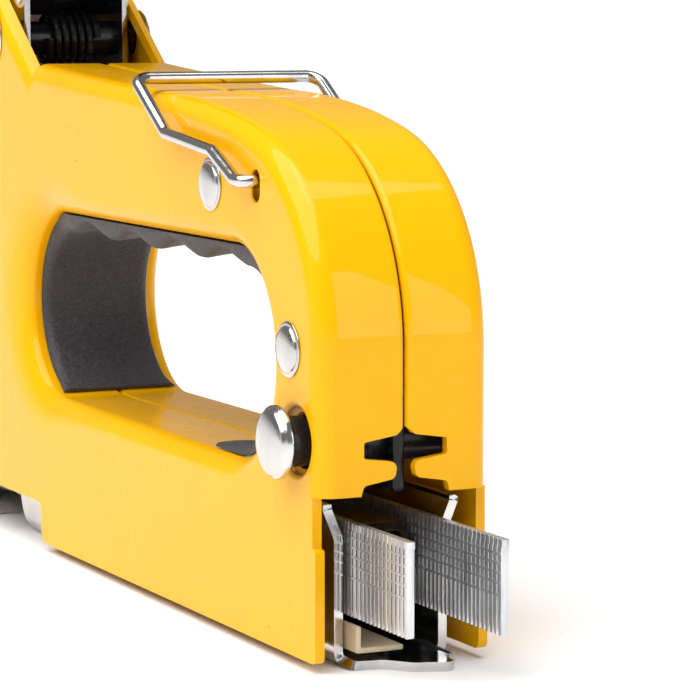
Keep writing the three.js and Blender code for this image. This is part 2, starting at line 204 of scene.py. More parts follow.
def bent(corners: list[tuple[Place, float]], steps: int = 9) -> list[Place]:
    """A line in space whose corners are rounded, as a bent wire's are.

    Args:
        corners: each corner's place and bend radius; the ends have a radius of 0.
        steps: chords in each bend.

    Returns:
        The points of the line.
    """
    places = [Vector(place) for place, _ in corners]
    points = [tuple(places[0])]
    for before, here, after, (_, radius) in zip(places, places[1:], places[2:], corners[1:]):
        back, ahead = (before - here).normalized(), (after - here).normalized()
        half_turn = back.angle(ahead) / 2
        centre = here + (back + ahead).normalized() * radius / math.sin(half_turn)
        reach = radius / math.tan(half_turn)
        first, last = here + back * reach - centre, here + ahead * reach - centre
        for k in range(steps + 1):
            points.append(tuple(centre + first.slerp(last, k / steps).normalized() * radius))
    return [*points, tuple(places[-1])]


def split_long(points: list[Point], longest: float) -> list[Point]:
    """The same open line with no chord longer than longest."""
    out = [points[0]]
    for a, b in zip(points, points[1:]):
        pieces = max(1, math.ceil(math.dist(a, b) / longest))
        out += [(a[0] + (b[0] - a[0]) * k / pieces, a[1] + (b[1] - a[1]) * k / pieces)
                for k in range(1, pieces + 1)]
    return out


def merged_line(*parts: list[Point]) -> list[Point]:
    """Lines joined end to end, with repeated points left out."""
    points: list[Point] = []
    for part in parts:
        points += [p for p in part if not points or math.dist(p, points[-1]) > 1e-6]
    return points


def inset(points: list[Point], depth: float | list[float], closed: bool) -> list[Point]:
    """A line moved to its left side by depth, with mitred corners.

    Args:
        points: the line; an outline runs anticlockwise, so its left side is the inside.
        depth: one depth, or one for each point.
        closed: whether the last point joins the first.

    Returns:
        One moved point for each point.
    """
    count = len(points)
    depths = depth if isinstance(depth, list) else [depth] * count
    moved = []
    for i, (u, v) in enumerate(points):
        here = Vector((u, v))
        before = Vector(points[i - 1]) if closed or i else None
        after = Vector(points[(i + 1) % count]) if closed or i < count - 1 else None
        first = (here - before).normalized() if before else (after - here).normalized()
        second = (after - here).normalized() if after else first
        side_a, side_b = Vector((-first.y, first.x)), Vector((-second.y, second.x))
        bisector = (side_a + side_b).normalized()
        stretch = depths[i] / max(0.35, bisector.dot(side_a))
        moved.append((u + bisector.x * stretch, v + bisector.y * stretch))
    return moved


def circle(centre: Point, radius: float, sides: int = 48) -> list[Point]:
    """A closed anticlockwise circle."""
    return arc(centre, radius, 0, 360 - 360 / sides, sides - 1)


def within(point: Vector, outline: list[Vector]) -> bool:
    """Whether a point lies inside a closed outline."""
    inside = False
    for a, b in zip(outline, outline[1:] + outline[:1]):
        if (a.y > point.y) != (b.y > point.y):
            if point.x < a.x + (b.x - a.x) * (point.y - a.y) / (b.y - a.y):
                inside = not inside
    return inside


# ---- meshes ----------------------------------------------------------------------------------------
class Builder:
    """Collects vertices and faces of one piece, in millimetres."""

    def __init__(self) -> None:
        """Starts an empty piece."""
        self.verts: list[Place] = []
        self.faces: list[Face] = []

    def ring(self, points: list[Place]) -> list[int]:
        """Adds vertices and returns their numbers."""
        first = len(self.verts)
        self.verts += points
        return list(range(first, first + len(points)))

    def bridge(self, a: list[int], b: list[int], closed: bool) -> None:
        """Adds a strip of quads between two rows of equal length."""
        count = len(a)
        for i in range(count if closed else count - 1):
            j = (i + 1) % count
            self.faces.append((a[i], a[j], b[j], b[i]))

    def fill(self, outer: list[int], holes: list[list[int]], axes: tuple[int, int]) -> None:
        """Fills a flat outline and leaves its holes open.

        Args:
            outer: vertex numbers of the outline.
            holes: vertex numbers of each hole.
            axes: the two coordinates that the flat face lies in.
        """
        numbers = [n for loop in [outer, *holes] for n in loop]
        flat = [Vector((self.verts[n][axes[0]], self.verts[n][axes[1]])) for n in numbers]
        edges, first = [], 0
        for loop in [outer, *holes]:
            edges += [(first + i, first + (i + 1) % len(loop)) for i in range(len(loop))]
            first += len(loop)
        points, _, triangles, origins, _, _ = delaunay_2d_cdt(flat, edges, [], INSIDE_ONLY, 1e-7)
        back = [numbers[origin[0]] for origin in origins[:len(points)]]
        outlines = [[flat[numbers.index(n)] for n in loop] for loop in holes]
        for triangle in triangles:
            middle = sum((points[i] for i in triangle), Vector((0, 0))) / 3
            if not any(within(middle, outline) for outline in outlines):
                self.faces.append(tuple(back[i] for i in triangle))

    def object(self, name: str) -> bpy.types.Object:
        """Makes the piece, in metres, with its faces pointing out."""
        mesh = bpy.data.meshes.new(name)
        mesh.from_pydata([[value * MM for value in v] for v in self.verts], [], self.faces)
        obj = bpy.data.objects.new(name, mesh)
        bpy.context.scene.collection.objects.link(obj)
        clean(obj)
        return obj


def clean(obj: bpy.types.Object) -> None:
    """Merges an object's doubled vertices and turns its faces to point out."""
    shape = bmesh.new()
    shape.from_mesh(obj.data)
    bmesh.ops.remove_doubles(shape, verts=shape.verts, dist=1e-6)
    bmesh.ops.dissolve_degenerate(shape, edges=shape.edges, dist=1e-7)
    bmesh.ops.recalc_face_normals(shape, faces=shape.faces)
    shape.to_mesh(obj.data)
    shape.free()


def settle(obj: bpy.types.Object) -> bpy.types.Object:
    """Applies an object's modifiers, so that it is left with one plain mesh."""
    bpy.context.view_layer.update()
    graph = bpy.context.evaluated_depsgraph_get()
    mesh = bpy.data.meshes.new_from_object(obj.evaluated_get(graph))
    obj.modifiers.clear()
    obj.data = mesh
    mesh.name = obj.name
    return obj


def subtract(obj: bpy.types.Object, *cutters: bpy.types.Object) -> bpy.types.Object:
    """Cuts the cutters out of an object and removes them."""
    for cutter in cutters:
        modifier = obj.modifiers.new("cut", "BOOLEAN")
        modifier.operation, modifier.solver, modifier.object = "DIFFERENCE", "EXACT", cutter
        settle(obj)
        bpy.data.objects.remove(cutter)
    return obj


def soften(obj: bpy.types.Object, width: float, segments: int = 2, angle: float = 42) -> bpy.types.Object:
    """Rounds an object's sharp edges and smooths its shading.

    Args:
        obj: the object.
        width: width of the rounded edge, in millimetres; 0 leaves the edges as they are.
        segments: steps across the edge.
        angle: edges that turn less than this many degrees are left alone.

    Returns:
        The same object.
    """
    if width > 0:
        bevel = obj.modifiers.new("edges", "BEVEL")
        bevel.width, bevel.segments = width * MM, segments
        bevel.limit_method, bevel.angle_limit = "ANGLE", math.radians(angle)
        bevel.use_clamp_overlap = True
        bevel.miter_outer = "MITER_ARC"
    settle(obj)
    obj.data.shade_smooth()
    obj.data.set_sharp_from_angle(angle=math.radians(angle))
    weights = obj.modifiers.new("shading", "WEIGHTED_NORMAL")
    weights.mode, weights.weight, weights.keep_sharp = "FACE_AREA_WITH_ANGLE", 60, True
    return settle(obj)


def flatten_faces(obj: bpy.types.Object) -> None:
    """Joins the triangles of each flat face into larger faces."""
    shape = bmesh.new()
    shape.from_mesh(obj.data)
    bmesh.ops.dissolve_limit(shape, angle_limit=math.radians(0.05), verts=shape.verts, edges=shape.edges)
    shape.to_mesh(obj.data)
    shape.free()


def prism(name: str, outline: list[Point], low: float, high: float, axis: str) -> bpy.types.Object:
    """A straight solid.

    Args:
        name: its name.
        outline: its section, closed.
        low: where it starts along axis.
        high: where it ends along axis.
        axis: "x" for a section in Y and Z, "y" for one in X and Z, "z" for one in X and Y.

    Returns:
        The new object.
    """
    spot = {"x": lambda p, t: (t, p[0], p[1]), "y": lambda p, t: (p[0], t, p[1]),
            "z": lambda p, t: (p[0], p[1], t)}[axis]
    axes = {"x": (1, 2), "y": (0, 2), "z": (0, 1)}[axis]
    piece = Builder()
    near = piece.ring([spot(p, low) for p in outline])
    far = piece.ring([spot(p, high) for p in outline])
    piece.bridge(near, far, closed=True)
    piece.fill(near, [], axes)
    piece.fill(far, [], axes)
    return piece.object(name)


def rounded_plate(name: str, outline: list[Point], half: float, radius: float,
                  steps: int = 8) -> bpy.types.Object:
    """A solid with a side outline in X and Z, from -half to half in Y, with rounded edges."""
    piece = Builder()
    rows = []
    for side in (-1, 1):
        angles = [90 * i / steps for i in range(steps + 1)][::-side]
        for degrees in angles:
            a = math.radians(degrees)
            line = inset(outline, radius * (1 - math.sin(a)), closed=True)
            y = side * (half - radius * (1 - math.cos(a)))
            rows.append(piece.ring([(x, y, z) for x, z in line]))
    for a, b in zip(rows, rows[1:]):
        piece.bridge(a, b, closed=True)
    piece.fill(rows[0], [], (0, 2))
    piece.fill(rows[-1], [], (0, 2))
    return piece.object(name)


def turned(name: str, profile: list[Point], centre: Point, axis: str, sides: int = 64) -> bpy.types.Object:
    """A turned piece.

    Args:
        name: its name.
        profile: (radius, place along the axis) from one pole to the other; a radius of 0 is a pole.
        centre: where the axis stands, (x, z) for axis "y" and (x, y) for axis "z".
        axis: "y" or "z".
        sides: faces around it.

    Returns:
        The new object.
    """
    piece = Builder()
    rows = []
    for radius, along in profile:
        points = []
        for i in range(1 if radius == 0 else sides):
            a = 2 * math.pi * i / sides
            u, v = centre[0] + radius * math.cos(a), centre[1] + radius * math.sin(a)
            points.append((u, along, v) if axis == "y" else (u, v, along))
        rows.append(piece.ring(points))
    for a, b in zip(rows, rows[1:]):
        if len(a) == 1 and len(b) == 1:
            continue
        if len(a) == 1 or len(b) == 1:
            pole, row = (a[0], b) if len(a) == 1 else (b[0], a)
            piece.faces += [(pole, row[i], row[(i + 1) % sides]) for i in range(sides)]
        else:
            piece.bridge(a, b, closed=True)
    return piece.object(name)


def refined(node: str, width: float, segments: int = 2) -> bpy.types.Object:
    """A finer copy of a CAD node, with its edges rounded."""
    obj = bpy.data.objects.new(f"{node}_fine", frame["nodes"][node].data.copy())
    bpy.context.scene.collection.objects.link(obj)
    clean(obj)
    flatten_faces(obj)
    return soften(obj, width, segments, angle=35)


# ---- finishes --------------------------------------------------------------------------------------
class Shader:
    """One procedural material, built node by node in object coordinates."""

    def __init__(self, name: str) -> None:
        """Starts a material with a Principled shader."""
        self.material = bpy.data.materials.new(name)
        self.material.use_nodes = True
        self.tree = self.material.node_tree
        self.surface = self.tree.nodes["Principled BSDF"]
        self.place = self.tree.nodes.new("ShaderNodeTexCoord").outputs["Object"]

    def set(self, **values: object) -> None:
        """Sets constants on the shader's own sockets; an underscore stands for a space."""
        for name, value in values.items():
            self.surface.inputs[name.replace("_", " ")].default_value = value

    def stretched(self, x: float, y: float, z: float) -> bpy.types.NodeSocket:
        """Object coordinates scaled along each axis."""
        mapping = self.tree.nodes.new("ShaderNodeMapping")
        mapping.inputs["Scale"].default_value = (x, y, z)
        self.tree.links.new(self.place, mapping.inputs["Vector"])
        return mapping.outputs["Vector"]

    def noise(self, scale: float, detail: float = 3, place: bpy.types.NodeSocket | None = None,
              distortion: float = 0) -> bpy.types.NodeSocket:
        """A noise pattern with scale features to the metre."""
        node = self.tree.nodes.new("ShaderNodeTexNoise")
        node.inputs["Scale"].default_value = scale
        node.inputs["Detail"].default_value = detail
        node.inputs["Distortion"].default_value = distortion
        self.tree.links.new(place or self.place, node.inputs["Vector"])
        return node.outputs["Fac"]

    def cells(self, scale: float, place: bpy.types.NodeSocket | None = None) -> bpy.types.NodeSocket:
        """Distance from the middle of the cells of a Voronoi pattern."""
        node = self.tree.nodes.new("ShaderNodeTexVoronoi")
        node.inputs["Scale"].default_value = scale
        self.tree.links.new(place or self.place, node.inputs["Vector"])
        return node.outputs["Distance"]

    def span(self, value: bpy.types.NodeSocket, low: float, high: float, out_low: float,
             out_high: float) -> bpy.types.NodeSocket:
        """A value stretched from low..high to out_low..out_high, and held within it."""
        node = self.tree.nodes.new("ShaderNodeMapRange")
        for name, number in zip(("From Min", "From Max", "To Min", "To Max"),
                                (low, high, out_low, out_high)):
            node.inputs[name].default_value = number
        self.tree.links.new(value, node.inputs["Value"])
        return node.outputs["Result"]

    def sum(self, a: bpy.types.NodeSocket, b: bpy.types.NodeSocket, share: float = 1) -> bpy.types.NodeSocket:
        """a plus share times b."""
        node = self.tree.nodes.new("ShaderNodeMath")
        node.operation = "MULTIPLY_ADD"
        self.tree.links.new(b, node.inputs[0])
        node.inputs[1].default_value = share
        self.tree.links.new(a, node.inputs[2])
        return node.outputs[0]

    def blend(self, amount: bpy.types.NodeSocket, a: object, b: object) -> bpy.types.NodeSocket:
        """Colour a where amount is 0 and colour b where it is 1."""
        node = self.tree.nodes.new("ShaderNodeMix")
        node.data_type = "RGBA"
        self.tree.links.new(amount, node.inputs["Factor"])
        for socket, colour in ((node.inputs[6], a), (node.inputs[7], b)):
            if isinstance(colour, bpy.types.NodeSocket):
                self.tree.links.new(colour, socket)
            else:
                socket.default_value = (*colour, 1)
        return node.outputs[2]

    def relief(self, height: bpy.types.NodeSocket, depth: float, coat: bool = False) -> None:
        """Bumps the surface by height times depth, in millimetres."""
        node = self.tree.nodes.new("ShaderNodeBump")
        node.inputs["Distance"].default_value = depth * MM
        self.tree.links.new(height, node.inputs["Height"])
        self.tree.links.new(node.outputs["Normal"], self.surface.inputs["Normal"])
        if coat:
            self.tree.links.new(node.outputs["Normal"], self.surface.inputs["Coat Normal"])

    def drive(self, name: str, value: bpy.types.NodeSocket) -> None:
        """Feeds a pattern to one of the shader's sockets."""
        self.tree.links.new(value, self.surface.inputs[name])


@dataclass(frozen=True)
class EnamelFinish:
    """Thick glossy enamel sprayed on pressed steel, with a faint orange peel and a few specks."""

    name: str
    colour: tuple[float, float, float]
    deep: tuple[float, float, float]
    speck: tuple[float, float, float]

    def material(self) -> bpy.types.Material:
        """Makes the material."""
        shader = Shader(self.name)
        body = shader.blend(shader.span(shader.noise(38, 2), 0.3, 0.7, 0, 1), self.colour, self.deep)
        specks = shader.span(shader.cells(210), 0.035, 0.06, 0.85, 0)
        rare = shader.span(shader.noise(52, 1), 0.66, 0.7, 0, 1)
        gate = shader.tree.nodes.new("ShaderNodeMath")
        gate.operation = "MULTIPLY"
        shader.tree.links.new(specks, gate.inputs[0])
        shader.tree.links.new(rare, gate.inputs[1])
        shader.drive("Base Color", shader.blend(gate.outputs[0], body, self.speck))
        shader.drive("Roughness", shader.span(shader.noise(60, 3), 0.3, 0.7, 0.26, 0.3))
        peel = shader.sum(shader.noise(330, 1), shader.noise(90, 1), 1.2)
        shader.relief(peel, 0.006, coat=True)
        shader.set(Coat_Weight=0.36, Coat_Roughness=0.03, Specular_IOR_Level=0.05)
        return shader.material


@dataclass(frozen=True)
class PlatedFinish:
    """Bright plating over stamped or drawn steel, with faint clouds, pits and rubbing marks."""

    name: str
    colour: tuple[float, float, float]
    stain: tuple[float, float, float]
    low: float
    high: float
    wave: float

    def material(self) -> bpy.types.Material:
        """Makes the material."""
        shader = Shader(self.name)
        clouds = shader.span(shader.noise(90, 4, distortion=0.6), 0.35, 0.75, 0, 1)
        pits = shader.span(shader.cells(900), 0.03, 0.12, 0.5, 0)
        marks = shader.sum(clouds, pits, 0.6)
        shader.drive("Base Color", shader.blend(marks, self.colour, self.stain))
        rub = shader.noise(60, 5, shader.stretched(1, 9, 30))
        shader.drive("Roughness", shader.span(shader.sum(rub, clouds, 0.3), 0.35, 0.9, self.low, self.high))
        shader.relief(shader.sum(shader.noise(160, 2), shader.noise(2200, 3), 0.1), self.wave)
        shader.set(Metallic=1.0)
        return shader.material


@dataclass(frozen=True)
class DrawnFinish:
    """Zinc-plated or hardened steel with the fine lines that drawing and rolling leave."""

    name: str
    colour: tuple[float, float, float]
    streak: tuple[float, float, float]
    along: Place
    roughness: float
    metallic: float = 1.0
    fineness: float = 900

    def material(self) -> bpy.types.Material:
        """Makes the material."""
        shader = Shader(self.name)
        lines = shader.noise(self.fineness, 2, shader.stretched(*self.along))
        clouds = shader.noise(140, 3)
        amount = shader.span(shader.sum(lines, clouds, 0.5), 0.5, 1.0, 0, 1)
        shader.drive("Base Color", shader.blend(amount, self.colour, self.streak))
        shader.drive("Roughness", shader.span(lines, 0.3, 0.7, self.roughness - 0.03, self.roughness + 0.05))
        shader.relief(lines, 0.002)
        shader.set(Metallic=self.metallic)
        return shader.material


@dataclass(frozen=True)
class OxideFinish:
    """Glossy black oxide with an oil sheen and thin grey rubbing."""

    name: str
    colour: tuple[float, float, float]
    worn: tuple[float, float, float]

    def material(self) -> bpy.types.Material:
        """Makes the material."""
        shader = Shader(self.name)
        rub = shader.span(shader.noise(300, 5, shader.stretched(1, 0.2, 1)), 0.58, 0.8, 0, 0.6)
        shader.drive("Base Color", shader.blend(rub, self.colour, self.worn))
        shader.drive("Roughness", shader.span(shader.noise(500, 3), 0.3, 0.7, 0.12, 0.3))
        shader.relief(shader.noise(1500, 3), 0.01)
        shader.set(Metallic=0.0, Specular_IOR_Level=0.2, Coat_Weight=0.1, Coat_Roughness=0.06)
        return shader.material


@dataclass(frozen=True)
class RubberFinish:
    """Soft rubber with a moulded leather grain, paler where it is rubbed."""

    name: str
    colour: tuple[float, float, float]
    rubbed: tuple[float, float, float]
    grain: float

    def material(self) -> bpy.types.Material:
        """Makes the material."""
        shader = Shader(self.name)
        grain = shader.cells(self.grain, shader.stretched(1, 0.75, 1))
        dust = shader.noise(self.grain * 0.5, 6, distortion=0.2)
        amount = shader.span(shader.sum(dust, grain, 0.5), 0.45, 1.05, 0, 1)
        shader.drive("Base Color", shader.blend(amount, self.colour, self.rubbed))
        shader.drive("Roughness", shader.span(dust, 0.3, 0.7, 0.5, 0.72))
        shader.relief(shader.sum(grain, dust, 0.5), 0.1)
        shader.set(Specular_IOR_Level=0.5, Sheen_Weight=0.08, Sheen_Roughness=0.5)
        return shader.material


@dataclass(frozen=True)
class PlasticFinish:
    """Thin moulded plastic with a satin surface and flow lines."""

    name: str
    colour: tuple[float, float, float]
    flow: tuple[float, float, float]

    def material(self) -> bpy.types.Material:
        """Makes the material."""
        shader = Shader(self.name)
        lines = shader.noise(200, 3, shader.stretched(0.15, 1, 1))
        shader.drive("Base Color", shader.blend(shader.span(lines, 0.3, 0.7, 0, 1), self.colour, self.flow))
        shader.drive("Roughness", shader.span(lines, 0.3, 0.7, 0.42, 0.6))
        shader.relief(shader.noise(1800, 3), 0.02)
        shader.set(Subsurface_Weight=0.05)
        return shader.material


FINISHES = {
    Slot.YELLOW: EnamelFinish("yellow_enamel", (0.92, 0.455, 0.0), (0.89, 0.435, 0.0), (0.10, 0.07, 0.02)),
    Slot.CHROME: PlatedFinish("bright_nickel", (0.66, 0.65, 0.64), (0.42, 0.41, 0.41), 0.07, 0.24, 0.035),
    Slot.ZINC: DrawnFinish("zinc_plate", (0.80, 0.81, 0.82), (0.42, 0.43, 0.45), (1, 1, 0.06), 0.3, 0.8),
    Slot.DARK_STEEL: DrawnFinish("hardened_steel", (0.42, 0.42, 0.43), (0.22, 0.22, 0.23), (0.05, 1, 1), 0.3),
    Slot.BLACK: OxideFinish("black_oxide", (0.012, 0.012, 0.014), (0.16, 0.16, 0.17)),
    Slot.RUBBER: RubberFinish("charcoal_rubber", (0.016, 0.015, 0.018), (0.05, 0.045, 0.05), 2200),
    Slot.BEIGE: PlasticFinish("beige_plastic", (0.62, 0.50, 0.34), (0.52, 0.41, 0.27)),
}


class FinishShelf:
    """Keeps one material for each slot."""

    def __init__(self) -> None:
        """Starts with no material made."""
        self.made: dict[Slot, bpy.types.Material] = {}

    def of(self, slot: Slot) -> bpy.types.Material:
        """The slot's material, made when it is first asked for."""
        if slot not in self.made:
            self.made[slot] = FINISHES[slot].material()
        return self.made[slot]

    def dress(self, obj: bpy.types.Object, slot: Slot) -> None:
        """Gives an object the slot's material and no other."""
        obj.data.materials.clear()
        obj.data.materials.append(self.of(slot))


SHELF = FinishShelf()


def mount(obj: bpy.types.Object, body: Body, slot: Slot, *nodes: str) -> bpy.types.Object:
    """Dresses a finished piece, puts it on its body and lets it stand for CAD nodes.

    Args:
        obj: the piece.
        body: the body it rides on.
        slot: the material slot it is finished in.
        nodes: the CAD nodes that it stands for.

    Returns:
        The piece.
    """
    SHELF.dress(obj, slot)
    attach(obj, body.value)
    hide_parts(*nodes)
    LOG.info("%s: %d faces, on %s, in %s", obj.name, len(obj.data.polygons), body.value, slot.value)
    return obj


# ---- geometry nodes --------------------------------------------------------------------------------
class NodeForm:
    """A Geometry Nodes tree that makes one repeated or path-following form."""

    def __init__(self, name: str) -> None:
        """Starts a tree with a geometry input and output."""
        self.name = name
        self.tree = bpy.data.node_groups.new(name, "GeometryNodeTree")
        face = self.tree.interface
        face.new_socket("Geometry", in_out="INPUT", socket_type="NodeSocketGeometry")
        face.new_socket("Geometry", in_out="OUTPUT", socket_type="NodeSocketGeometry")
        self.entry = self.tree.nodes.new("NodeGroupInput")
        self.exit = self.tree.nodes.new("NodeGroupOutput")
        self.values: dict[str, object] = {}

    def input(self, name: str, kind: str, value: object) -> bpy.types.NodeSocket:
        """Adds a named input and the value that it gets.

        Args:
            name: name of the input.
            kind: Float, Int, Vector, Object or Material.
            value: its value, in metres where it is a size.

        Returns:
            The socket that gives the value inside the tree.
        """
        item = self.tree.interface.new_socket(name, in_out="INPUT", socket_type=f"NodeSocket{kind}")
        self.values[item.identifier] = value
        return self.entry.outputs[name]

    def node(self, kind: str, **links: object) -> bpy.types.Node:
        """Adds a node and fills its inputs.

        Args:
            kind: the node's type, without its GeometryNode prefix.
            links: sockets or values for its inputs; an underscore stands for a space.

        Returns:
            The node.
        """
        node = self.tree.nodes.new(kind if kind.startswith("Shader") else f"GeometryNode{kind}")
        for name, value in links.items():
            socket = node.inputs[name.replace("_", " ")]
            if isinstance(value, bpy.types.NodeSocket):
                self.tree.links.new(value, socket)
            else:
                socket.default_value = value
        return node

    def make(self, form: bpy.types.NodeSocket, material: bpy.types.Material,
             base: bpy.types.Mesh | None = None) -> bpy.types.Object:
        """Ends the tree and turns its result into a plain mesh.

        Args:
            form: the geometry to keep.
            material: its material.
            base: mesh that the tree starts from, if it needs one.

        Returns:
            A new object with no modifier.
        """
        real = self.node("RealizeInstances", Geometry=form)
        dressed = self.node("SetMaterial", Geometry=real.outputs[0],
                            Material=self.input("Finish", "Material", material))
        self.tree.links.new(dressed.outputs[0], self.exit.inputs[0])
        obj = bpy.data.objects.new(self.name, base or bpy.data.meshes.new(self.name))
        bpy.context.scene.collection.objects.link(obj)
        modifier = obj.modifiers.new("form", "NODES")
        modifier.node_group = self.tree
        for identifier, value in self.values.items():
            modifier[identifier] = value
        return settle(obj)


def coil(name: str, radius: float, wire: float, length: float, turns: float,
         slot: Slot) -> bpy.types.Object:
    """A spring along +Z from the origin.

    Args:
        name: its name.
        radius: radius of the coil's middle line.
        wire: radius of the wire.
        length: length of the coil's middle line.
        turns: number of turns.
        slot: its finish.

    Returns:
        The spring as a plain mesh.
    """
    form = NodeForm(name)
    around = form.input("Coil Radius", "Float", radius * MM)
    line = form.node("CurveSpiral", Resolution=form.input("Steps To The Turn", "Int", 40),
                     Rotations=form.input("Turns", "Float", turns), Start_Radius=around, End_Radius=around,
                     Height=form.input("Length", "Float", length * MM))
    section = form.node("CurvePrimitiveCircle", Resolution=form.input("Wire Sides", "Int", 14),
                        Radius=form.input("Wire Radius", "Float", wire * MM))
    tube = form.node("CurveToMesh", Curve=line.outputs[0], Profile_Curve=section.outputs[0], Fill_Caps=True)
    obj = form.make(tube.outputs[0], SHELF.of(slot))
    obj.data.shade_smooth()
    obj.data.set_sharp_from_angle(angle=math.radians(50))
    return obj


def scattered(name: str, part: bpy.types.Object, places: list[Place], slot: Slot) -> bpy.types.Object:
    """Copies of a part at several places, as one mesh.

    Args:
        name: name of the result.
        part: the part, with its own centre at the origin; it is removed.
        places: where each copy goes, in millimetres.
        slot: its finish.

    Returns:
        All copies as one plain mesh.
    """
    spots = bpy.data.meshes.new(f"{name}_places")
    spots.from_pydata([[value * MM for value in place] for place in places], [], [])
    form = NodeForm(name)
    info = form.node("ObjectInfo", Object=form.input("Part", "Object", part))
    copies = form.node("InstanceOnPoints", Points=form.entry.outputs["Geometry"],
                       Instance=info.outputs["Geometry"])
    obj = form.make(copies.outputs[0], SHELF.of(slot), base=spots)
    bpy.data.objects.remove(part)
    obj.data.shade_smooth()
    obj.data.set_sharp_from_angle(angle=math.radians(40))
    return obj


def in_a_row(name: str, part: bpy.types.Object, start: Place, step: float, count: int,
             slot: Slot) -> bpy.types.Object:
    """Copies of a part in a row along X, as one mesh.

    Args:
        name: name of the result.
        part: the part; it is removed.
        start: what is added to the part's place for the first copy.
        step: distance from one copy to the next.
        count: number of copies.
        slot: its finish.

    Returns:
        All copies as one plain mesh.
    """
    form = NodeForm(name)
    row = form.node("MeshLine", Count=form.input("Count", "Int", count),
                    Start_Location=form.input("First Place", "Vector", [value * MM for value in start]),
                    Offset=form.input("Step", "Vector", [step * MM, 0.0, 0.0]))
    info = form.node("ObjectInfo", Object=form.input("Part", "Object", part))
    copies = form.node("InstanceOnPoints", Points=row.outputs[0], Instance=info.outputs["Geometry"])
    obj = form.make(copies.outputs[0], SHELF.of(slot))
    bpy.data.objects.remove(part)
    obj.data.shade_smooth()
    obj.data.set_sharp_from_angle(angle=math.radians(40))
    return obj


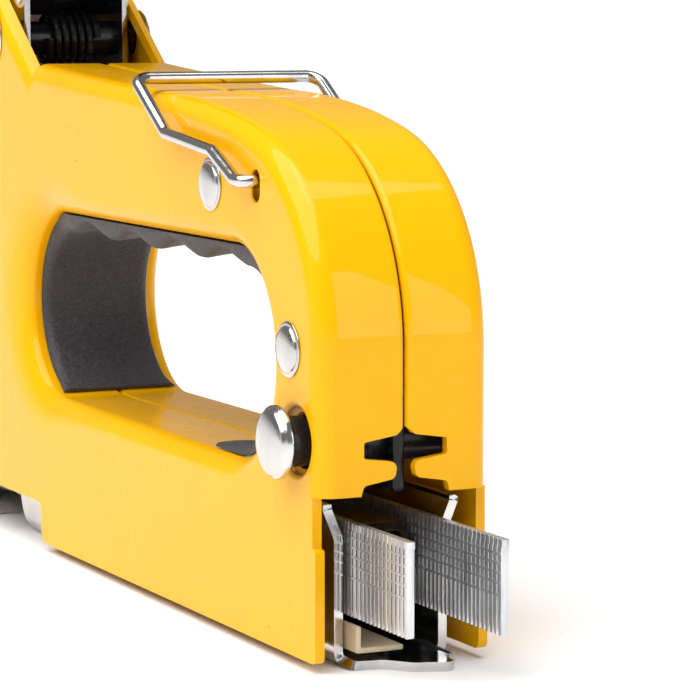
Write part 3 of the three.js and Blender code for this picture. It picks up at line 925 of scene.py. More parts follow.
# ---- the two pressed shells ------------------------------------------------------------------------
@dataclass
class ShellPair:
    """The left and right shells: one sheet each, rolled over at every edge."""

    case: Extent
    sheet: float = 1.5
    edge_radius: float = 3.3
    seam_gap: float = 0.15
    seam_roll: float = 0.9
    rear_radius: float = 32
    rear_turn: float = 75
    rear_centre_z: float = 46.5
    bar_top_z: float = 82.1
    slot: Point = (-84, -51)
    ear_foot_z: float = 84.2
    wall_bottom_z: float = 25.7
    front_bottom_z: float = 8.5
    skirt_front_x: float = -47
    opening: tuple[float, float, float, float] = (-57, 51, 27.5, 60)
    rim_width: float = 3.4
    front_rim_width: float = 9
    rim_depth: float = 3.2
    hole_lip: float = 0.3
    button_hole: float = 4.05
    dish_radius: float = 5.8
    dish_depth: float = 0.95
    steps: int = 9
    outline: list[Point] = field(init=False)

    def __post_init__(self) -> None:
        """Draws the outline once, for both shells."""
        self.outline = self.draw_outline()

    @property
    def half(self) -> float:
        """Half the width over the shells."""
        return self.case.y1 if self.case.y1 > 0 else -self.case.y0

    def draw_outline(self) -> list[Point]:
        """The case's outline in X and Z, from the rear wall's lower edge over the top to the nose.

        Returns:
            The points in order, anticlockwise round the case.
        """
        rear, front, top = self.case.x1, self.case.x0, self.case.z1
        centre = (rear - self.rear_radius, self.rear_centre_z)
        bend = arc(centre, self.rear_radius, 0, self.rear_turn, 44)
        shoulder = curve(bend[-1], (28.5, self.bar_top_z - 0.5), (4, self.bar_top_z), 18)
        slot_front, slot_rear = self.slot
        crest = (slot_front - 7, top)
        bar_and_ear = rounded([
            (4, self.bar_top_z, 0), (-29, self.bar_top_z + 1.8, 60),
            (slot_rear + 1, self.ear_foot_z + 1.1, 0), (slot_rear - 0.3, self.ear_foot_z, 0),
            (slot_front, top - 2.5, 0)], steps=7, closed=False)
        tower = curve((slot_front, top - 2.5), (slot_front - 3.5, top), crest, 8)
        nose = arc((front + 8, top - 8), 8, 90, 180, 14)
        line = merged_line([(rear, self.wall_bottom_z)], bend, shoulder, bar_and_ear, tower, nose,
                           [(front, self.front_bottom_z)])
        return split_long(line, 6)

    def opening_loop(self, grow: Point | float) -> list[Point]:
        """The finger opening, grown outwards.

        Args:
            grow: one growth, or (growth at the rear, growth at the front).

        Returns:
            A closed clockwise loop.
        """
        x0, x1, z0, z1 = self.opening
        radius, mid = (z1 - z0) / 2, (z1 + z0) / 2
        rear = arc((x1 - radius, mid), radius, 90, -90, 40)
        front = arc((x0 + radius, mid), radius, 270, 90, 40)
        loop = split_long([*rear, *front, rear[0]], 5)[:-1]
        if isinstance(grow, tuple):
            blend_from, blend_to = x0 + 2.4 * radius, x0
            shares = [min(1, max(0, (blend_from - x) / (blend_from - blend_to))) for x, _ in loop]
            depths = [grow[0] + (grow[1] - grow[0]) * t * t * (3 - 2 * t) for t in shares]
            return inset(loop, depths, closed=True)
        return inset(loop, float(grow), closed=True)

    def side_holes(self) -> list[tuple[list[Point], float]]:
        """The round and long holes in a side face, each with the depth of its lip.

        Returns:
            Closed outlines in X and Z, each with its lip's depth.
        """
        holes = []
        for node in ("rear_upper", "rear_lower", "front_upper", "front_lower"):
            at = Extent.of(f"rivet_{node}")
            holes.append((circle((at.mid_x, at.mid_z), 2.2, 32), self.hole_lip))
        lever_x, _, lever_z = pivot_of("lever_hinge")
        holes.append((circle((lever_x, lever_z), 3.05, 40), self.hole_lip))
        bail_x, _, bail_z = pivot_of("bail_hinge")
        slot_half, below, above = 1.75, 1.6, 0.25
        holes.append((merged_line(arc((bail_x, bail_z + above), slot_half, 0, 180, 16),
                                  arc((bail_x, bail_z - below), slot_half, 180, 360, 16)), self.hole_lip))
        pin = Extent.of("release_pin")
        holes.append((circle((pin.mid_x, pin.mid_z), self.button_hole, 64), self.hole_lip))
        return holes

    def lower_edge(self) -> list[Point]:
        """The side face below the rear wall: the skirt's stepped rear edge, its foot and the front."""
        upper_x, lower_x, step_z, foot = self.case.x1 - 2, self.case.x1 - 1, 18.2, self.case.z0
        return rounded([
            (self.case.x0 + self.edge_radius, self.front_bottom_z, 0),
            (self.skirt_front_x, self.front_bottom_z, 1.5), (self.skirt_front_x, foot, 2.5),
            (lower_x, foot, 1.2), (lower_x, step_z, 0.4),
            (upper_x, step_z, 0.3), (upper_x, self.wall_bottom_z, 0)], closed=False)

    def sheet_of(self, side: Side) -> bpy.types.Object:
        """One shell as a bare surface, before it gets its thickness.

        Args:
            side: which shell.

        Returns:
            The surface.
        """
        piece, sign, half, radius = Builder(), side.value, self.half, self.edge_radius
        slot_front, slot_rear = self.slot
        profile = []
        for i in range(self.steps + 1):
            a = math.pi / 2 * i / self.steps
            profile.append((radius * (1 - math.sin(a)), half - radius * (1 - math.cos(a))))
        over_slot = 1 + sum(1 for _, y in profile if y > half - 1.9)
        profile += [(0, (half - radius) / 2), (0, self.seam_gap + self.seam_roll)]
        for degrees in (25, 50, 75, 90):
            a = math.radians(degrees)
            profile.append((self.seam_roll * (1 - math.cos(a)),
                            self.seam_gap + self.seam_roll * (1 - math.sin(a))))
        rows = [piece.ring([(x, sign * y, z) for x, z in inset(self.outline, depth, closed=False)])
                for depth, y in profile]
        for k, (a, b) in enumerate(zip(rows, rows[1:])):
            for i in range(len(a) - 1):
                middle_x = (self.outline[i][0] + self.outline[i + 1][0]) / 2
                if slot_front < middle_x < slot_rear and k >= over_slot:
                    continue
                piece.faces.append((a[i], a[i + 1], b[i + 1], b[i]))
        loops = []
        for i in range(self.steps + 1):
            a = math.pi / 2 * i / self.steps
            grow = 1 - math.sin(a)
            y = half - self.rim_depth * (1 - math.cos(a))
            loops.append(piece.ring([(x, sign * y, z) for x, z in self.opening_loop(
                (self.rim_width * grow, self.front_rim_width * grow))]))
        seam = self.seam_gap
        for y, grow in ((5, 0.0), (seam + 0.5, 0.0), (seam + 0.1, 0.2), (seam, 0.5)):
            loops.append(piece.ring([(x, sign * y, z) for x, z in self.opening_loop(grow)]))
        for a, b in zip(loops, loops[1:]):
            piece.bridge(a, b, closed=True)
        holes = [loops[0]]
        for outline, lip in self.side_holes():
            turns = (0, 22, 45, 67, 90)
            rings = [piece.ring([(x, sign * (half - lip * (1 - math.cos(math.radians(t)))), z)
                                 for x, z in inset(outline, lip * math.sin(math.radians(t)), closed=True)])
                     for t in turns]
            for a, b in zip(rings, rings[1:]):
                piece.bridge(a, b, closed=True)
            holes.append(rings[0])
        foot = piece.ring([(x, sign * half, z) for x, z in self.lower_edge()])
        piece.fill(rows[0] + foot, holes, (0, 2))
        return piece.object(f"{side.name.lower()}_shell_fine")

    def cutters(self, side: Side) -> list[bpy.types.Object]:
        """What is cut out of a shell: rear slot, seat of the nosepiece and the dish round the button."""
        rear = self.case.x1
        foot = self.wall_bottom_z
        right = [(7.0, foot - 3, 0), (7.1, foot + 0.1, 0.5), (6.7, foot + 1.5, 0.9), (1.7, foot + 2.3, 1.0),
                 (1.3, foot + 4.7, 1.1), (6.7, foot + 5.4, 0.4), (6.7, foot + 7.8, 0.4),
                 (1.5, foot + 8.6, 1.0), (0, foot + 9.9, 0)]
        left = [(-y, z, r) for y, z, r in reversed(right[:-1])]
        rear_slot = prism("rear_slot", rounded(right + left), rear - 9, rear + 5, "x")
        nose = Extent.of("nosepiece")
        seat = [(-10.9, -5), (10.9, -5), (10.9, nose.z1 + 0.3), (-10.9, nose.z1 + 0.3)]
        tools = [rear_slot, prism("nose_seat", seat, self.case.x0 - 5, self.case.x0 + 7, "x")]
        if side is Side.LEFT:
            pin, face, deep = Extent.of("release_pin"), -self.half, self.dish_depth - self.half
            dish = [(0, face - 1), (self.dish_radius + 0.6, face - 1), (self.dish_radius + 0.35, face - 0.25),
                    (self.dish_radius, face), (self.dish_radius - 0.5, face + 0.35),
                    (self.dish_radius - 1.1, deep - 0.15), (self.dish_radius - 1.6, deep), (0, deep)]
            tools.append(turned("button_dish", dish, (pin.mid_x, pin.mid_z), "y", 96))
        return tools

    def build(self) -> None:
        """Makes and mounts both shells."""
        for side in Side:
            shell = self.sheet_of(side)
            LOG.info("%s: bare sheet of %d faces", shell.name, len(shell.data.polygons))
            thick = shell.modifiers.new("sheet", "SOLIDIFY")
            thick.thickness, thick.offset = self.sheet * MM, -1
            thick.use_even_offset = False
            settle(shell)
            subtract(shell, *self.cutters(side))
            clean(shell)
            flatten_faces(shell)
            soften(shell, 0.28, 2)
            mount(shell, Body.CASE, Slot.YELLOW, f"{side.name.lower()}_shell")


# ---- grip ------------------------------------------------------------------------------------------
@dataclass
class GripLining:
    """The rubber lining of the finger opening: thick at the front, with finger hollows on top."""

    opening: tuple[float, float, float, float]
    lining: Extent
    front_thick: float = 1.7
    ridge_thick: float = 3.7
    hollow_thick: float = 1.2
    rear_thick: float = 2.2
    front_end_angle: float = 257
    rear_end_x: float = 22
    hollow_length: float = 19
    ridge_from: float = -40
    edge_round: float = 2.2
    front_narrower: float = 1.6
    narrow_from: float = -38
    narrow_over: float = 10
    tail_rise: float = 9.3
    tail_line: tuple[Point, ...] = ((5, -13), (24.5, -13), (25.5, -11.1), (37, -8.6), (45, -6.2), (48.6, 0),
                                    (45, 6.2), (37, 8.6), (25.5, 11.1), (24.5, 13), (5, 13))

    def thickness(self, x: float, z: float) -> float:
        """How thick the lining is at a point of the opening's edge."""
        x0, x1, z0, z1 = self.opening
        radius = (z1 - z0) / 2
        front_x, rear_x = x0 + radius, x1 - radius
        if z > z1 - 2 and front_x < x < rear_x:
            phase = (x - self.ridge_from) / self.hollow_length
            swell = 0.5 + 0.5 * math.cos(2 * math.pi * phase)
            return self.hollow_thick + (self.ridge_thick - self.hollow_thick) * swell ** 0.8
        if x <= front_x:
            blend = min(1, max(0, (z1 - z) / radius))
            full = self.ridge_thick + (self.front_thick - self.ridge_thick) * math.sin(math.pi / 2 * blend)
            return full * min(1, max(0.15, (z - z0) / 5)) ** 0.5
        if x >= rear_x:
            blend = min(1, max(0, (z1 - z) / radius))
            return self.ridge_thick + (self.rear_thick - self.ridge_thick) * math.sin(math.pi / 2 * blend)
        left = max(0.0, (x - self.rear_end_x) / (rear_x - self.rear_end_x))
        return 0.5 + (self.rear_thick - 0.5) * left ** 0.85

    def path(self) -> list[Point]:
        """The lined part of the opening's edge, from the lower front end over the top to the lower rear."""
        x0, x1, z0, z1 = self.opening
        gap = 0.3
        radius, mid = (z1 - z0) / 2, (z1 + z0) / 2
        front = arc((x0 + radius, mid), radius - gap, self.front_end_angle, 90, 52)
        rear = arc((x1 - radius, mid), radius - gap, 90, -90, 56)
        line = [*front, *rear, (self.rear_end_x, z0 + gap)]
        return split_long(line, 1.2)

    def build(self) -> None:
        """Makes and mounts the lining."""
        piece = Builder()
        outer_line = self.path()
        depths = [self.thickness(x, z) for x, z in outer_line]
        half, across = self.lining.y1, 26
        outer_rows, inner_rows = [], []
        normals = inset(outer_line, -1.0, closed=False)
        for (x, z), (nx, nz), depth in zip(outer_line, normals, depths):
            reach = half - self.front_narrower * min(1, max(0, (self.narrow_from - x) / self.narrow_over))
            inner, outer = [], []
            for i in range(across + 1):
                a = math.pi * i / across
                y = -reach * math.cos(a)
                from_edge = reach - abs(y)
                round_off = min(1, from_edge / min(self.edge_round, reach))
                saddle = 1 - 0.3 * (1 - (y / reach) ** 2)
                t = depth * saddle * math.sqrt(max(0, 1 - (1 - round_off) ** 2))
                inner.append((x + (nx - x) * t, y, z + (nz - z) * t))
                outer.append((x, y, z))
            inner_rows.append(piece.ring(inner))
            outer_rows.append(piece.ring(outer))
        for rows in (inner_rows, outer_rows):
            for a, b in zip(rows, rows[1:]):
                piece.bridge(a, b, closed=False)
        for k in (0, -1):
            piece.bridge(inner_rows[k], outer_rows[k], closed=False)
        obj = piece.object("grip_lining")
        clean(obj)
        foot = self.opening[2]
        subtract(obj, prism("tail_cut", self.tail_line, foot - 3, foot + self.tail_rise, "z"))
        clean(obj)
        soften(obj, 0)
        mount(obj, Body.CASE, Slot.RUBBER, "grip_insert")


# ---- rivets and pins -------------------------------------------------------------------------------
def rivet_profile(shank: float, head: float, height: float, face: float) -> list[Point]:
    """The profile of a rivet with two low domed heads, from its left pole to its right pole."""
    crown = [(0, height)]
    for i in range(1, 7):
        a = math.radians(90 * i / 6)
        crown.append((head * 0.86 * math.sin(a), height * (0.25 + 0.75 * math.cos(a))))
    for degrees in (20, 45, 70, 90):
        a = math.radians(degrees)
        crown.append((head * (0.86 + 0.14 * math.sin(a)), height * 0.25 * (0.35 + 0.65 * math.cos(a))))
    crown += [(head, 0.12), (head - 0.12, 0.0), (shank, 0.0)]
    left = [(r, -(face + h)) for r, h in crown]
    return left + [(r, -y) for r, y in reversed(left)]


@dataclass
class Fasteners:
    """The four shell rivets with their spacers, and the lever's cross pin."""

    half: float
    shank: float = 2
    head: float = 4.1
    head_height: float = 1.15
    pin_shank: float = 3
    pin_head: float = 5
    pin_height: float = 1.45
    # half-length of the pin's middle that is given black oxide as painted shade
    pin_painted_shade_half: float = 11

    def build(self) -> None:
        """Makes and mounts the rivets, spacers and pin."""
        names = ("rear_upper", "rear_lower", "front_upper", "front_lower")
        spots = [(at.mid_x, 0, at.mid_z) for at in (Extent.of(f"rivet_{name}") for name in names)]
        seat = self.half + 0.05
        profile = rivet_profile(self.shank, self.head, self.head_height, seat)
        rivets = scattered("shell_rivets", turned("rivet_part", profile, (0, 0), "y"), spots, Slot.CHROME)
        mount(rivets, Body.CASE, Slot.CHROME, *(f"rivet_{name}" for name in names))
        reach = Extent.of("spacer_rear_upper").y1
        bore, outside, chamfer = self.shank + 0.3, 4, 0.35
        sleeve = [(bore, -reach), (outside - chamfer, -reach), (outside, -reach + chamfer),
                  (outside, reach - chamfer), (outside - chamfer, reach), (bore, reach), (bore, -reach)]
        spacers = scattered("rivet_spacers", turned("spacer_part", sleeve, (0, 0), "y", 40), spots, Slot.ZINC)
        mount(spacers, Body.CASE, Slot.ZINC, *(f"spacer_{name}" for name in names))
        x, _, z = pivot_of("lever_hinge")
        profile = rivet_profile(self.pin_shank, self.pin_head, self.pin_height, seat)
        pin = soften(turned("lever_cross_pin", profile, (x, z), "y"), 0)
        mount(pin, Body.CASE, Slot.CHROME, "lever_pin")
        # The pin's middle, inside the lever's hollow, gets black oxide as painted shade, so it shows dark
        # with no glint; only its heads stay chrome.
        pin.data.materials.append(SHELF.of(Slot.BLACK))
        for face in pin.data.polygons:
            if abs(face.center.y) < self.pin_painted_shade_half * MM:
                face.material_index = 1


# ---- lever -----------------------------------------------------------------------------------------
@dataclass
class Lever:
    """The squeeze lever: a channel of chromed sheet with two lifting arms, and its return spring; the
    channel's inside and the spring are black as painted shade.
    """

    half: float
    open_degrees: float
    sheet: float = 2
    arm: float = 28.2
    tip_radius: float = 2.8
    handle_end: float = 104
    edge_radius: float = 2.4

    def turned_open(self, points: list[Point]) -> list[Point]:
        """Points drawn with the lever squeezed shut, turned to where it rests."""
        x0, _, z0 = pivot_of("lever_hinge")
        a = math.radians(self.open_degrees)
        return [(x0 + u * math.cos(a) - v * math.sin(a), z0 + u * math.sin(a) + v * math.cos(a))
                for u, v in points]

    def outline(self) -> list[Point]:
        """The lever's outline about its pivot, squeezed shut."""
        rise = 0.2985
        tip = (-self.arm * math.cos(rise), self.arm * math.sin(rise))
        end = self.handle_end
        return merged_line(
            [(8.7, 1.9), (end - 5, 1.9)],
            curve((end - 5, 1.9), (end, 2.5), (end, 6), 8), curve((end, 6), (end, 9), (end - 5, 9.6), 8),
            curve((end - 5, 9.6), (50, 13.5), (-5.5, 12), 24),
            curve((-5.5, 12), (-17, 10.8), (tip[0] + 1, tip[1] + self.tip_radius), 10),
            arc(tip, self.tip_radius, math.degrees(1.2), math.degrees(4.5), 14),
            curve((tip[0] - 0.6, tip[1] - 2.74), (-17, 1.5), (-9.5, -10), 14)[1:],
            curve((-9.5, -10), (-6, -12.6), (-2.2, -11.2), 8))

    def build(self) -> None:
        """Makes and mounts the lever and its spring."""
        lever = rounded_plate("squeeze_lever", self.turned_open(self.outline()), self.half, self.edge_radius)
        end, inner = self.handle_end - 2.5, self.half - self.sheet
        hollow = merged_line([(-40, -20), (110, -20), (110, 1), (end, 3.5), (end, 7.2)],
                             curve((end, 7.2), (50, 11.4), (-5.5, 10), 24), [(-5.5, 20), (-40, 20)])
        x, _, z = pivot_of("lever_hinge")
        bore = turned("pin_bore", [(0, -20), (3.1, -20), (3.1, 20), (0, 20)], (x, z), "y", 40)
        space = prism("channel_space", self.turned_open(hollow), -inner, inner, "y")
        subtract(lever, space, bore)
        clean(lever)
        flatten_faces(lever)
        soften(lever, 0.3, 2)
        mount(lever, Body.LEVER, Slot.CHROME, "lever")
        # Faces inside the channel, between the side plates, get black oxide as painted shade: the dark hollow
        # under the open lever, not a black finish of the real lever.
        lever.data.materials.append(SHELF.of(Slot.BLACK))
        tilt = math.radians(self.open_degrees)
        outward = Vector((-math.sin(tilt), 0, math.cos(tilt)))
        along = Vector((math.cos(tilt), 0, math.sin(tilt)))
        for face in lever.data.polygons:
            inside = face.normal.dot(outward) < 0.3 and face.normal.dot(along) < 0.3
            if inside and abs(face.center.y) < (inner + 0.05) * MM:
                face.material_index = 1
        # The return spring is given black oxide as painted shade, so that it reads as the dark hollow under
        # the lever.
        spring = coil("lever_spring", 4.2, 0.6, 9, 6, Slot.BLACK)
        for v in spring.data.vertices:
            along, up = v.co.z - 4.5 * MM, v.co.y
            v.co = (v.co.x + x * MM, along, up + z * MM)
        clean(spring)
        mount(spring, Body.LEVER, Slot.BLACK, "return_spring")


# ---- driver, main spring and power screw -----------------------------------------------------------
@dataclass
class DriveTrain:
    """What drives the nail: carrier, blade, main spring with its seat, and the power screw."""

    wire: float = 1.0
    coil_radius: float = 5.5
    turns: float = 9
    ridges: int = 28

    def build(self) -> None:
        """Makes and mounts the pieces."""
        for node, width, body, slot in (
                ("driver_carrier", 0.35, Body.DRIVER, Slot.ZINC),
                ("driver_blade", 0.15, Body.DRIVER, Slot.DARK_STEEL),
                ("spring_seat", 0.4, Body.CASE, Slot.ZINC), ("buffer_pad", 0.8, Body.CASE, Slot.RUBBER)):
            mount(refined(node, width), body, slot, node)
        self.main_spring()
        self.power_knob()

    def main_spring(self) -> None:
        """The main spring at its rest length; the real one shortens as the carrier rises."""
        at = Extent.of("main_spring")
        length = at.z1 - at.z0 - 2 * self.wire
        spring = coil("main_coil", self.coil_radius, self.wire, length, self.turns, Slot.ZINC)
        for v in spring.data.vertices:
            v.co.x += at.mid_x * MM
            v.co.z += (at.z0 + self.wire) * MM
        mount(spring, Body.CASE, Slot.ZINC, "main_spring")
        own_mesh(spring)

    def power_knob(self) -> None:
        """The power screw with its knurled head and a driver slot across it."""
        at = Extent.of("power_screw")
        head_foot, head = at.z1 - 5.6, at.x1 - at.mid_x
        profile = [(0, at.z0), (2.2, at.z0), (2.7, at.z0 + 0.5), (2.7, head_foot), (head - 1.2, head_foot),
                   (head - 0.5, head_foot + 0.5), (head - 0.35, head_foot + 0.9), (head - 0.35, at.z1 - 1.1),
                   (head - 0.9, at.z1 - 0.3), (head - 1.5, at.z1), (0, at.z1)]
        knob = turned("power_knob", profile, (at.mid_x, 0), "z", 72)
        slot_cut = prism("knob_slot", [(at.mid_x - 0.7, -9), (at.mid_x + 0.7, -9), (at.mid_x + 0.7, 9),
                                       (at.mid_x - 0.7, 9)], at.z1 - 1.3, at.z1 + 2, "z")
        subtract(knob, slot_cut)
        soften(knob, 0.15, 2)
        mount(knob, Body.SCREW, Slot.BLACK, "power_screw")
        bar_height = at.z1 - 1.2 - (head_foot + 0.9)
        ridge = prism("ridge_part", rounded([(head - 0.7, -0.3, 0), (head, -0.25, 0.15), (head, 0.25, 0.15),
                                             (head - 0.7, 0.3, 0)]), 0, bar_height, "z")
        form = NodeForm("knob_ridges")
        info = form.node("ObjectInfo", Object=form.input("Ridge", "Object", ridge))
        circle_line = form.node("MeshCircle", Vertices=form.input("Ridges", "Int", self.ridges),
                                Radius=form.input("Spread", "Float", 1e-5))
        index = form.node("InputIndex")
        step = form.node("ShaderNodeMath")
        step.operation = "MULTIPLY"
        form.tree.links.new(index.outputs[0], step.inputs[0])
        form.tree.links.new(form.input("Angle Step", "Float", 2 * math.pi / self.ridges), step.inputs[1])
        axis = form.node("ShaderNodeCombineXYZ")
        form.tree.links.new(step.outputs[0], axis.inputs[2])
        copies = form.node("InstanceOnPoints", Points=circle_line.outputs[0],
                           Instance=info.outputs["Geometry"])
        form.tree.links.new(axis.outputs[0], copies.inputs["Rotation"])
        ridges = form.make(copies.outputs[0], SHELF.of(Slot.BLACK))
        bpy.data.objects.remove(ridge)
        for v in ridges.data.vertices:
            v.co.x += at.mid_x * MM
            v.co.z += (head_foot + 0.9) * MM
        mount(soften(ridges, 0), Body.SCREW, Slot.BLACK)


# ---- magazine --------------------------------------------------------------------------------------
@dataclass
class Magazine:
    """The chromed nose and magazine channel, the inner rail, the nail guide and the two nail strips."""

    channel: Extent
    half: float = 9.2
    wall: float = 1.4
    flare_z: float = 18.9
    flare: float = 1.8
    rear_x: float = 63.2
    front_x: float = -85.6
    bend: float = 2.2
    tongue_line: tuple[Point, ...] = (      # place across, and share of the full reach
        (-9.2, 0.0), (-7.6, 0.34), (-4.0, 0.4), (1.0, 0.86), (5.0, 1.0), (6.0, 0.92), (6.6, 0.42),
        (8.6, 0.5), (9.2, 0.3))
    nail_pitch: float = 1.27
    nail_head: float = 1.0
    nail_shank: float = 0.8
    nails: int = 58
    glue_shares: tuple[float, ...] = (0.17, 0.27, 0.37, 0.47, 0.6)      # heights, down from the heads
    glue_height: float = 0.42
    glue_proud: float = 0.06

    def build(self) -> None:
        """Makes and mounts the pieces."""
        mount(refined("nosepiece", 0.6, 3), Body.CASE, Slot.CHROME, "nosepiece")
        mount(refined("inner_rail", 0.3), Body.CASE, Slot.DARK_STEEL, "inner_rail")
        mount(refined("nail_guide", 0.25), Body.CASE, Slot.BEIGE, "nail_guide")
        self.channel_body()
        self.strip("nail_strip_left", Body.STRIP_LEFT)
        self.strip("nail_strip_right", Body.STRIP_RIGHT)

    def section(self) -> list[Point]:
        """The channel's outside line in Y and Z, from the top of the left wall to that of the right."""
        top, half, out = self.channel.z1, self.half, self.half + self.flare
        left = [(-out, top, 0), (-out, top - 0.9, 0.6), (-half, self.flare_z, 3), (-half, 0, self.bend)]
        return rounded(left + [(-y, z, r) for y, z, r in reversed(left)], steps=7, closed=False)

    def channel_body(self) -> None:
        """The channel with its wavy rear tongue and its front lip bent up."""
        piece = Builder()
        line = split_long(self.section(), 0.5)
        count = 24
        rear = [self.rear_x + self.tongue(y) if z < 0.5 else self.rear_x for y, z in line]
        rows = []
        for k in range(count + 1):
            t = k / count
            rows.append(piece.ring([(self.front_x + (x1 - self.front_x) * t, y, z)
                                    for x1, (y, z) in zip(rear, line)]))
        for a, b in zip(rows, rows[1:]):
            piece.bridge(a, b, closed=False)
        obj = piece.object("magazine_body")
        thick = obj.modifiers.new("sheet", "SOLIDIFY")
        thick.thickness, thick.offset = self.wall * MM, -1
        settle(obj)
        lip = merged_line([(-62, -5), (-62, 0)], curve((-62, 0), (-70, 0), (-71.5, 8.3), 10),
                          [(-95, 8.3), (-95, -5)])
        subtract(obj, prism("lip_cut", lip, -20, 20, "y"))
        clean(obj)
        soften(obj, 0.3, 3)
        mount(obj, Body.CASE, Slot.CHROME, "magazine_channel")

    def tongue(self, y: float) -> float:
        """How far the floor stands out behind the walls."""
        reach = self.channel.x1 - self.rear_x
        for (y0, share0), (y1, share1) in zip(self.tongue_line, self.tongue_line[1:]):
            if y0 <= y <= y1:
                t = (y - y0) / (y1 - y0)
                return reach * (share0 + (share1 - share0) * (3 - 2 * t) * t * t)
        return 0.0

    def strip(self, node: str, body: Body) -> None:
        """One strip of glued nails, each with a head, a shank and a chisel point.

        Args:
            node: the CAD node that the strip stands for.
            body: the body it rides on.
        """
        at = Extent.of(node)
        mid_y, half = (at.y0 + at.y1) / 2, (at.y1 - at.y0) / 2
        shank, head = self.nail_shank, self.nail_pitch - 0.04
        under = at.z1 - self.nail_head
        side = [(-head / 2, under, 0.15), (-shank / 2, under - 0.25, 0.2), (-shank / 2, at.z0 + 0.3, 0),
                (-shank / 4, at.z0, 0), (shank / 4, at.z0, 0), (shank / 2, at.z0 + 0.3, 0),
                (shank / 2, under - 0.25, 0.2), (head / 2, under, 0.15), (head / 2, at.z1, 0.2),
                (-head / 2, at.z1, 0.2)]
        nail = rounded_plate("nail_part", rounded(side, steps=2), half, 0.05, steps=1)
        start = (at.x1 - self.nail_pitch / 2, mid_y, 0)
        strip = in_a_row(f"{node}_nails", nail, start, -self.nail_pitch, self.nails, Slot.ZINC)
        mount(strip, body, Slot.ZINC, node)
        front_x = at.x1 - self.nails * self.nail_pitch + 0.6
        low_y, high_y = mid_y - half - self.glue_proud, mid_y + half + self.glue_proud
        lines = []
        for share in self.glue_shares:
            low = at.z1 - (at.z1 - at.z0) * share
            high = low + self.glue_height
            section = [(low_y, low, 0.1), (high_y, low, 0.1), (high_y, high, 0.1), (low_y, high, 0.1)]
            lines.append(prism("glue_part", rounded(section, steps=2), front_x, at.x1 - 0.5, "x"))
        mount(joined(f"{node}_glue", lines), body, Slot.ZINC)


def joined(name: str, parts: list[bpy.types.Object]) -> bpy.types.Object:
    """Several plain meshes as one; the parts are removed."""
    shape = bmesh.new()
    for part in parts:
        shape.from_mesh(part.data)
    mesh = bpy.data.meshes.new(name)
    shape.to_mesh(mesh)
    shape.free()
    for part in parts:
        bpy.data.objects.remove(part)
    obj = bpy.data.objects.new(name, mesh)
    bpy.context.scene.collection.objects.link(obj)
    return obj


# ---- release ---------------------------------------------------------------------------------------
@dataclass
class Release:
    """The push button with its black pin, and the latch plate behind the rear slot."""

    head_radius: float = 5.4
    pin_radius: float = 3.7

    def build(self) -> None:
        """Makes and mounts the button, the pin and the plate."""
        at, pin = Extent.of("release_button"), Extent.of("release_pin")
        centre = (at.mid_x, at.mid_z)
        face, back = at.y0, at.y1
        crown = [(0.0, face)]
        for i in range(1, 9):
            a = math.radians(90 * i / 8)
            crown.append((self.head_radius * 0.9 * math.sin(a), face + 1.1 * (1 - math.cos(a))))
        rim, r = self.head_radius, self.pin_radius
        crown += [(rim - 0.2, face + 1.35), (rim, face + 1.6), (rim, back - 0.5), (rim - 0.2, back - 0.3),
                  (r - 0.2, back - 0.25), (r - 0.2, back), (0.0, back)]
        head = soften(turned("button_head", crown, centre, "y", 72), 0)
        mount(head, Body.BUTTON, Slot.CHROME, "release_button")
        groove, end = r - 0.8, pin.y1
        rod = [(0.0, pin.y0), (r - 0.3, pin.y0), (r, pin.y0 + 0.3), (r, end - 3.2), (r - 0.2, end - 3.0),
               (groove, end - 2.9), (groove, end - 2.1), (r - 0.2, end - 2.0), (r, end - 1.8),
               (r, end - 0.4), (r - 0.4, end), (0.0, end)]
        barrel = soften(turned("button_barrel", rod, centre, "y", 64), 0)
        mount(barrel, Body.BUTTON, Slot.BLACK, "release_pin")
        mount(refined("latch_plate", 0.8, 4), Body.CASE, Slot.BLACK, "latch_plate")


# ---- bail ------------------------------------------------------------------------------------------
@dataclass
class Bail:
    """The wire bail that holds the lever down when it is swung over."""

    wire: float = 1.0
    leg_y: float = 16.05
    inner_end: float = 9.5

    def route(self) -> list[Place]:
        """The line that the wire follows, from its left end to its right end."""
        x, _, z = pivot_of("bail_hinge")
        y, crossbar_x, crossbar_z = self.leg_y, 4.0, 84.1
        corners = [((x, self.inner_end, z), 0), ((x, y, z), 1.6), ((43.6, y, 70.1), 2.2),
                   ((35.2, y, 74.0), 2.2), ((17.0, y, 75.9), 3.0), ((crossbar_x, y, crossbar_z), 2.4),
                   ((crossbar_x, 0, crossbar_z), 0)]
        right = bent(corners)
        left = [(px, -py, pz) for px, py, pz in right]
        return left[:-1] + right[::-1]

    def build(self) -> None:
        """Makes and mounts the bail."""
        path = bpy.data.curves.new("bail_path", "CURVE")
        path.dimensions = "3D"
        spline = path.splines.new("POLY")
        route = self.route()
        spline.points.add(len(route) - 1)
        for point, place in zip(spline.points, route):
            point.co = (*(value * MM for value in place), 1)
        guide = bpy.data.objects.new("bail_path", path)
        bpy.context.scene.collection.objects.link(guide)
        form = NodeForm("bail_wire")
        info = form.node("ObjectInfo", Object=form.input("Path", "Object", guide))
        section = form.node("CurvePrimitiveCircle", Resolution=form.input("Wire Sides", "Int", 24),
                            Radius=form.input("Wire Radius", "Float", self.wire * MM))
        tube = form.node("CurveToMesh", Curve=info.outputs["Geometry"], Profile_Curve=section.outputs[0],
                         Fill_Caps=True)
        wire = form.make(tube.outputs[0], SHELF.of(Slot.CHROME))
        bpy.data.objects.remove(guide)
        mount(soften(wire, 0), Body.BAIL, Slot.CHROME, "bail")


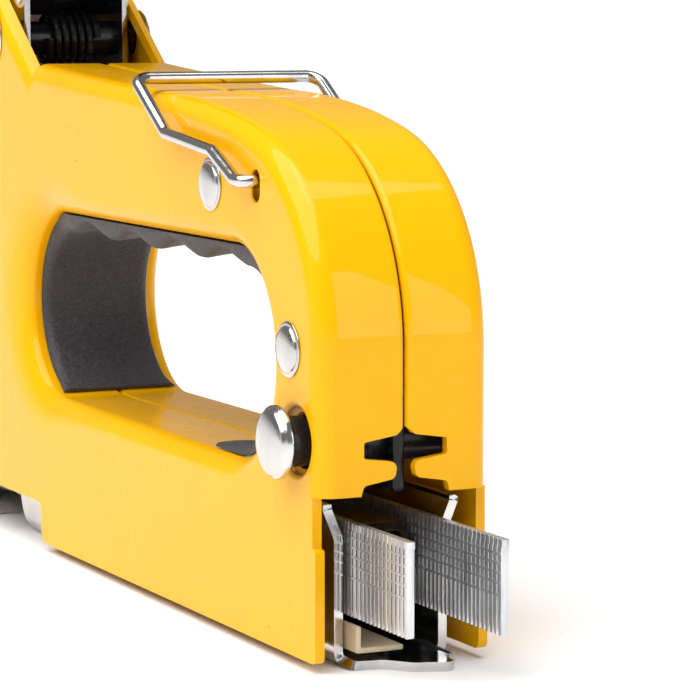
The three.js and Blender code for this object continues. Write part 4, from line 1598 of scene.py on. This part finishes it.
# ---- studio ----------------------------------------------------------------------------------------
@dataclass(frozen=True)
class SoftBox:
    """A rectangular studio light that looks at the gun."""

    name: str
    place: Place
    target: Place
    size: Point
    watts: float
    colour: tuple[float, float, float] = (1, 1, 1)

    def build(self) -> None:
        """Hangs the light."""
        lamp = bpy.data.lights.new(self.name, "AREA")
        lamp.shape, lamp.energy, lamp.color = "RECTANGLE", self.watts, self.colour
        lamp.size, lamp.size_y = self.size
        obj = bpy.data.objects.new(self.name, lamp)
        obj.location = self.place
        heading = Vector(self.target) - Vector(self.place)
        obj.rotation_euler = heading.to_track_quat("-Z", "Y").to_euler()
        bpy.context.scene.collection.objects.link(obj)


@dataclass
class Studio:
    """Floor, lights and camera."""

    camera_place: Place = (466.03, -200.34, 97.09)
    azimuth: float = 64.32
    dip: float = 6.47
    lens: float = 160.6
    sensor: float = 36
    floor_tone: float = 0.97
    sky_low: float = 0.0
    sky_high: float = 0.14
    sky_bright: float = 1.0
    sky_dim: float = 0.24
    sun_power: float = 3.6
    sun_spread: float = 70
    sun_tilt: Point = (25, 5)

    def build(self) -> None:
        """Sets up the whole studio."""
        self.camera()
        self.floor()
        self.air()
        middle = (0.0, 0.0, 0.05)
        for box in (
                SoftBox("top_box", (0.1, 0.1, 0.9), middle, (0.5, 0.5), 2.0),
                SoftBox("left_box", (0.1, -1.0, 0.4), middle, (0.5, 0.6), 0.4),
                SoftBox("rear_box", (0.8, 0.35, 0.3), middle, (0.12, 0.5), 0.5)):
            box.build()
        bpy.context.scene.view_settings.view_transform = "Standard"

    def air(self) -> None:
        """Surrounds the gun with light: white at eye level, greyer overhead, and a soft sun from above."""
        world = bpy.data.worlds.new("studio_air")
        world.use_nodes = True
        tree = world.node_tree
        place = tree.nodes.new("ShaderNodeTexCoord")
        split = tree.nodes.new("ShaderNodeSeparateXYZ")
        ramp = tree.nodes.new("ShaderNodeMapRange")
        tree.links.new(place.outputs["Generated"], split.inputs[0])
        tree.links.new(split.outputs["Z"], ramp.inputs["Value"])
        for name, number in zip(("From Min", "From Max", "To Min", "To Max"),
                                (self.sky_low, self.sky_high, self.sky_bright, self.sky_dim)):
            ramp.inputs[name].default_value = number
        tree.links.new(ramp.outputs["Result"], tree.nodes["Background"].inputs["Strength"])
        tree.nodes["Background"].inputs["Color"].default_value = (1.0, 1.0, 1.0, 1)
        bpy.context.scene.world = world
        sun = bpy.data.lights.new("soft_sun", "SUN")
        sun.energy, sun.angle = self.sun_power, math.radians(self.sun_spread)
        obj = bpy.data.objects.new("soft_sun", sun)
        obj.rotation_euler = (*map(math.radians, self.sun_tilt), 0)
        bpy.context.scene.collection.objects.link(obj)

    def camera(self) -> None:
        """Stands the camera where the gun is seen from its rear left."""
        data = bpy.data.cameras.new("camera")
        data.lens, data.sensor_width = self.lens, self.sensor
        data.clip_start, data.clip_end = 0.01, 20
        obj = bpy.data.objects.new("camera", data)
        obj.location = [value * MM for value in self.camera_place]
        obj.rotation_euler = (math.radians(90 - self.dip), 0, math.radians(self.azimuth))
        bpy.context.scene.collection.objects.link(obj)
        bpy.context.scene.camera = obj

    def floor(self) -> None:
        """Lays the pale floor that the gun stands on."""
        mesh = bpy.data.meshes.new("floor")
        reach = 60.0
        mesh.from_pydata([(-reach, -reach, 0), (reach, -reach, 0), (reach, reach, 0), (-reach, reach, 0)],
                         [], [(0, 1, 2, 3)])
        obj = bpy.data.objects.new("floor", mesh)
        bpy.context.scene.collection.objects.link(obj)
        shader = Shader("floor_paper")
        shader.set(Base_Color=(self.floor_tone, self.floor_tone, self.floor_tone, 1), Roughness=0.75)
        mesh.materials.append(shader.material)


def main() -> None:
    """Builds the studio and every sub-assembly in order."""
    logging.basicConfig(level=logging.INFO, format="%(name)s: %(message)s")
    Studio().build()
    shells = ShellPair(case=Extent.of("right_shell"))
    shells.build()
    GripLining(opening=shells.opening, lining=Extent.of("grip_insert")).build()
    Fasteners(half=shells.half).build()
    lever_range = next(j for j in frame["joints"] if j["name"] == "lever_hinge")["range_deg"]
    Lever(half=Extent.of("lever").y1, open_degrees=lever_range[1]).build()
    DriveTrain().build()
    Magazine(channel=Extent.of("magazine_channel")).build()
    Release().build()
    Bail().build()


if __name__ == "__main__":
    main()
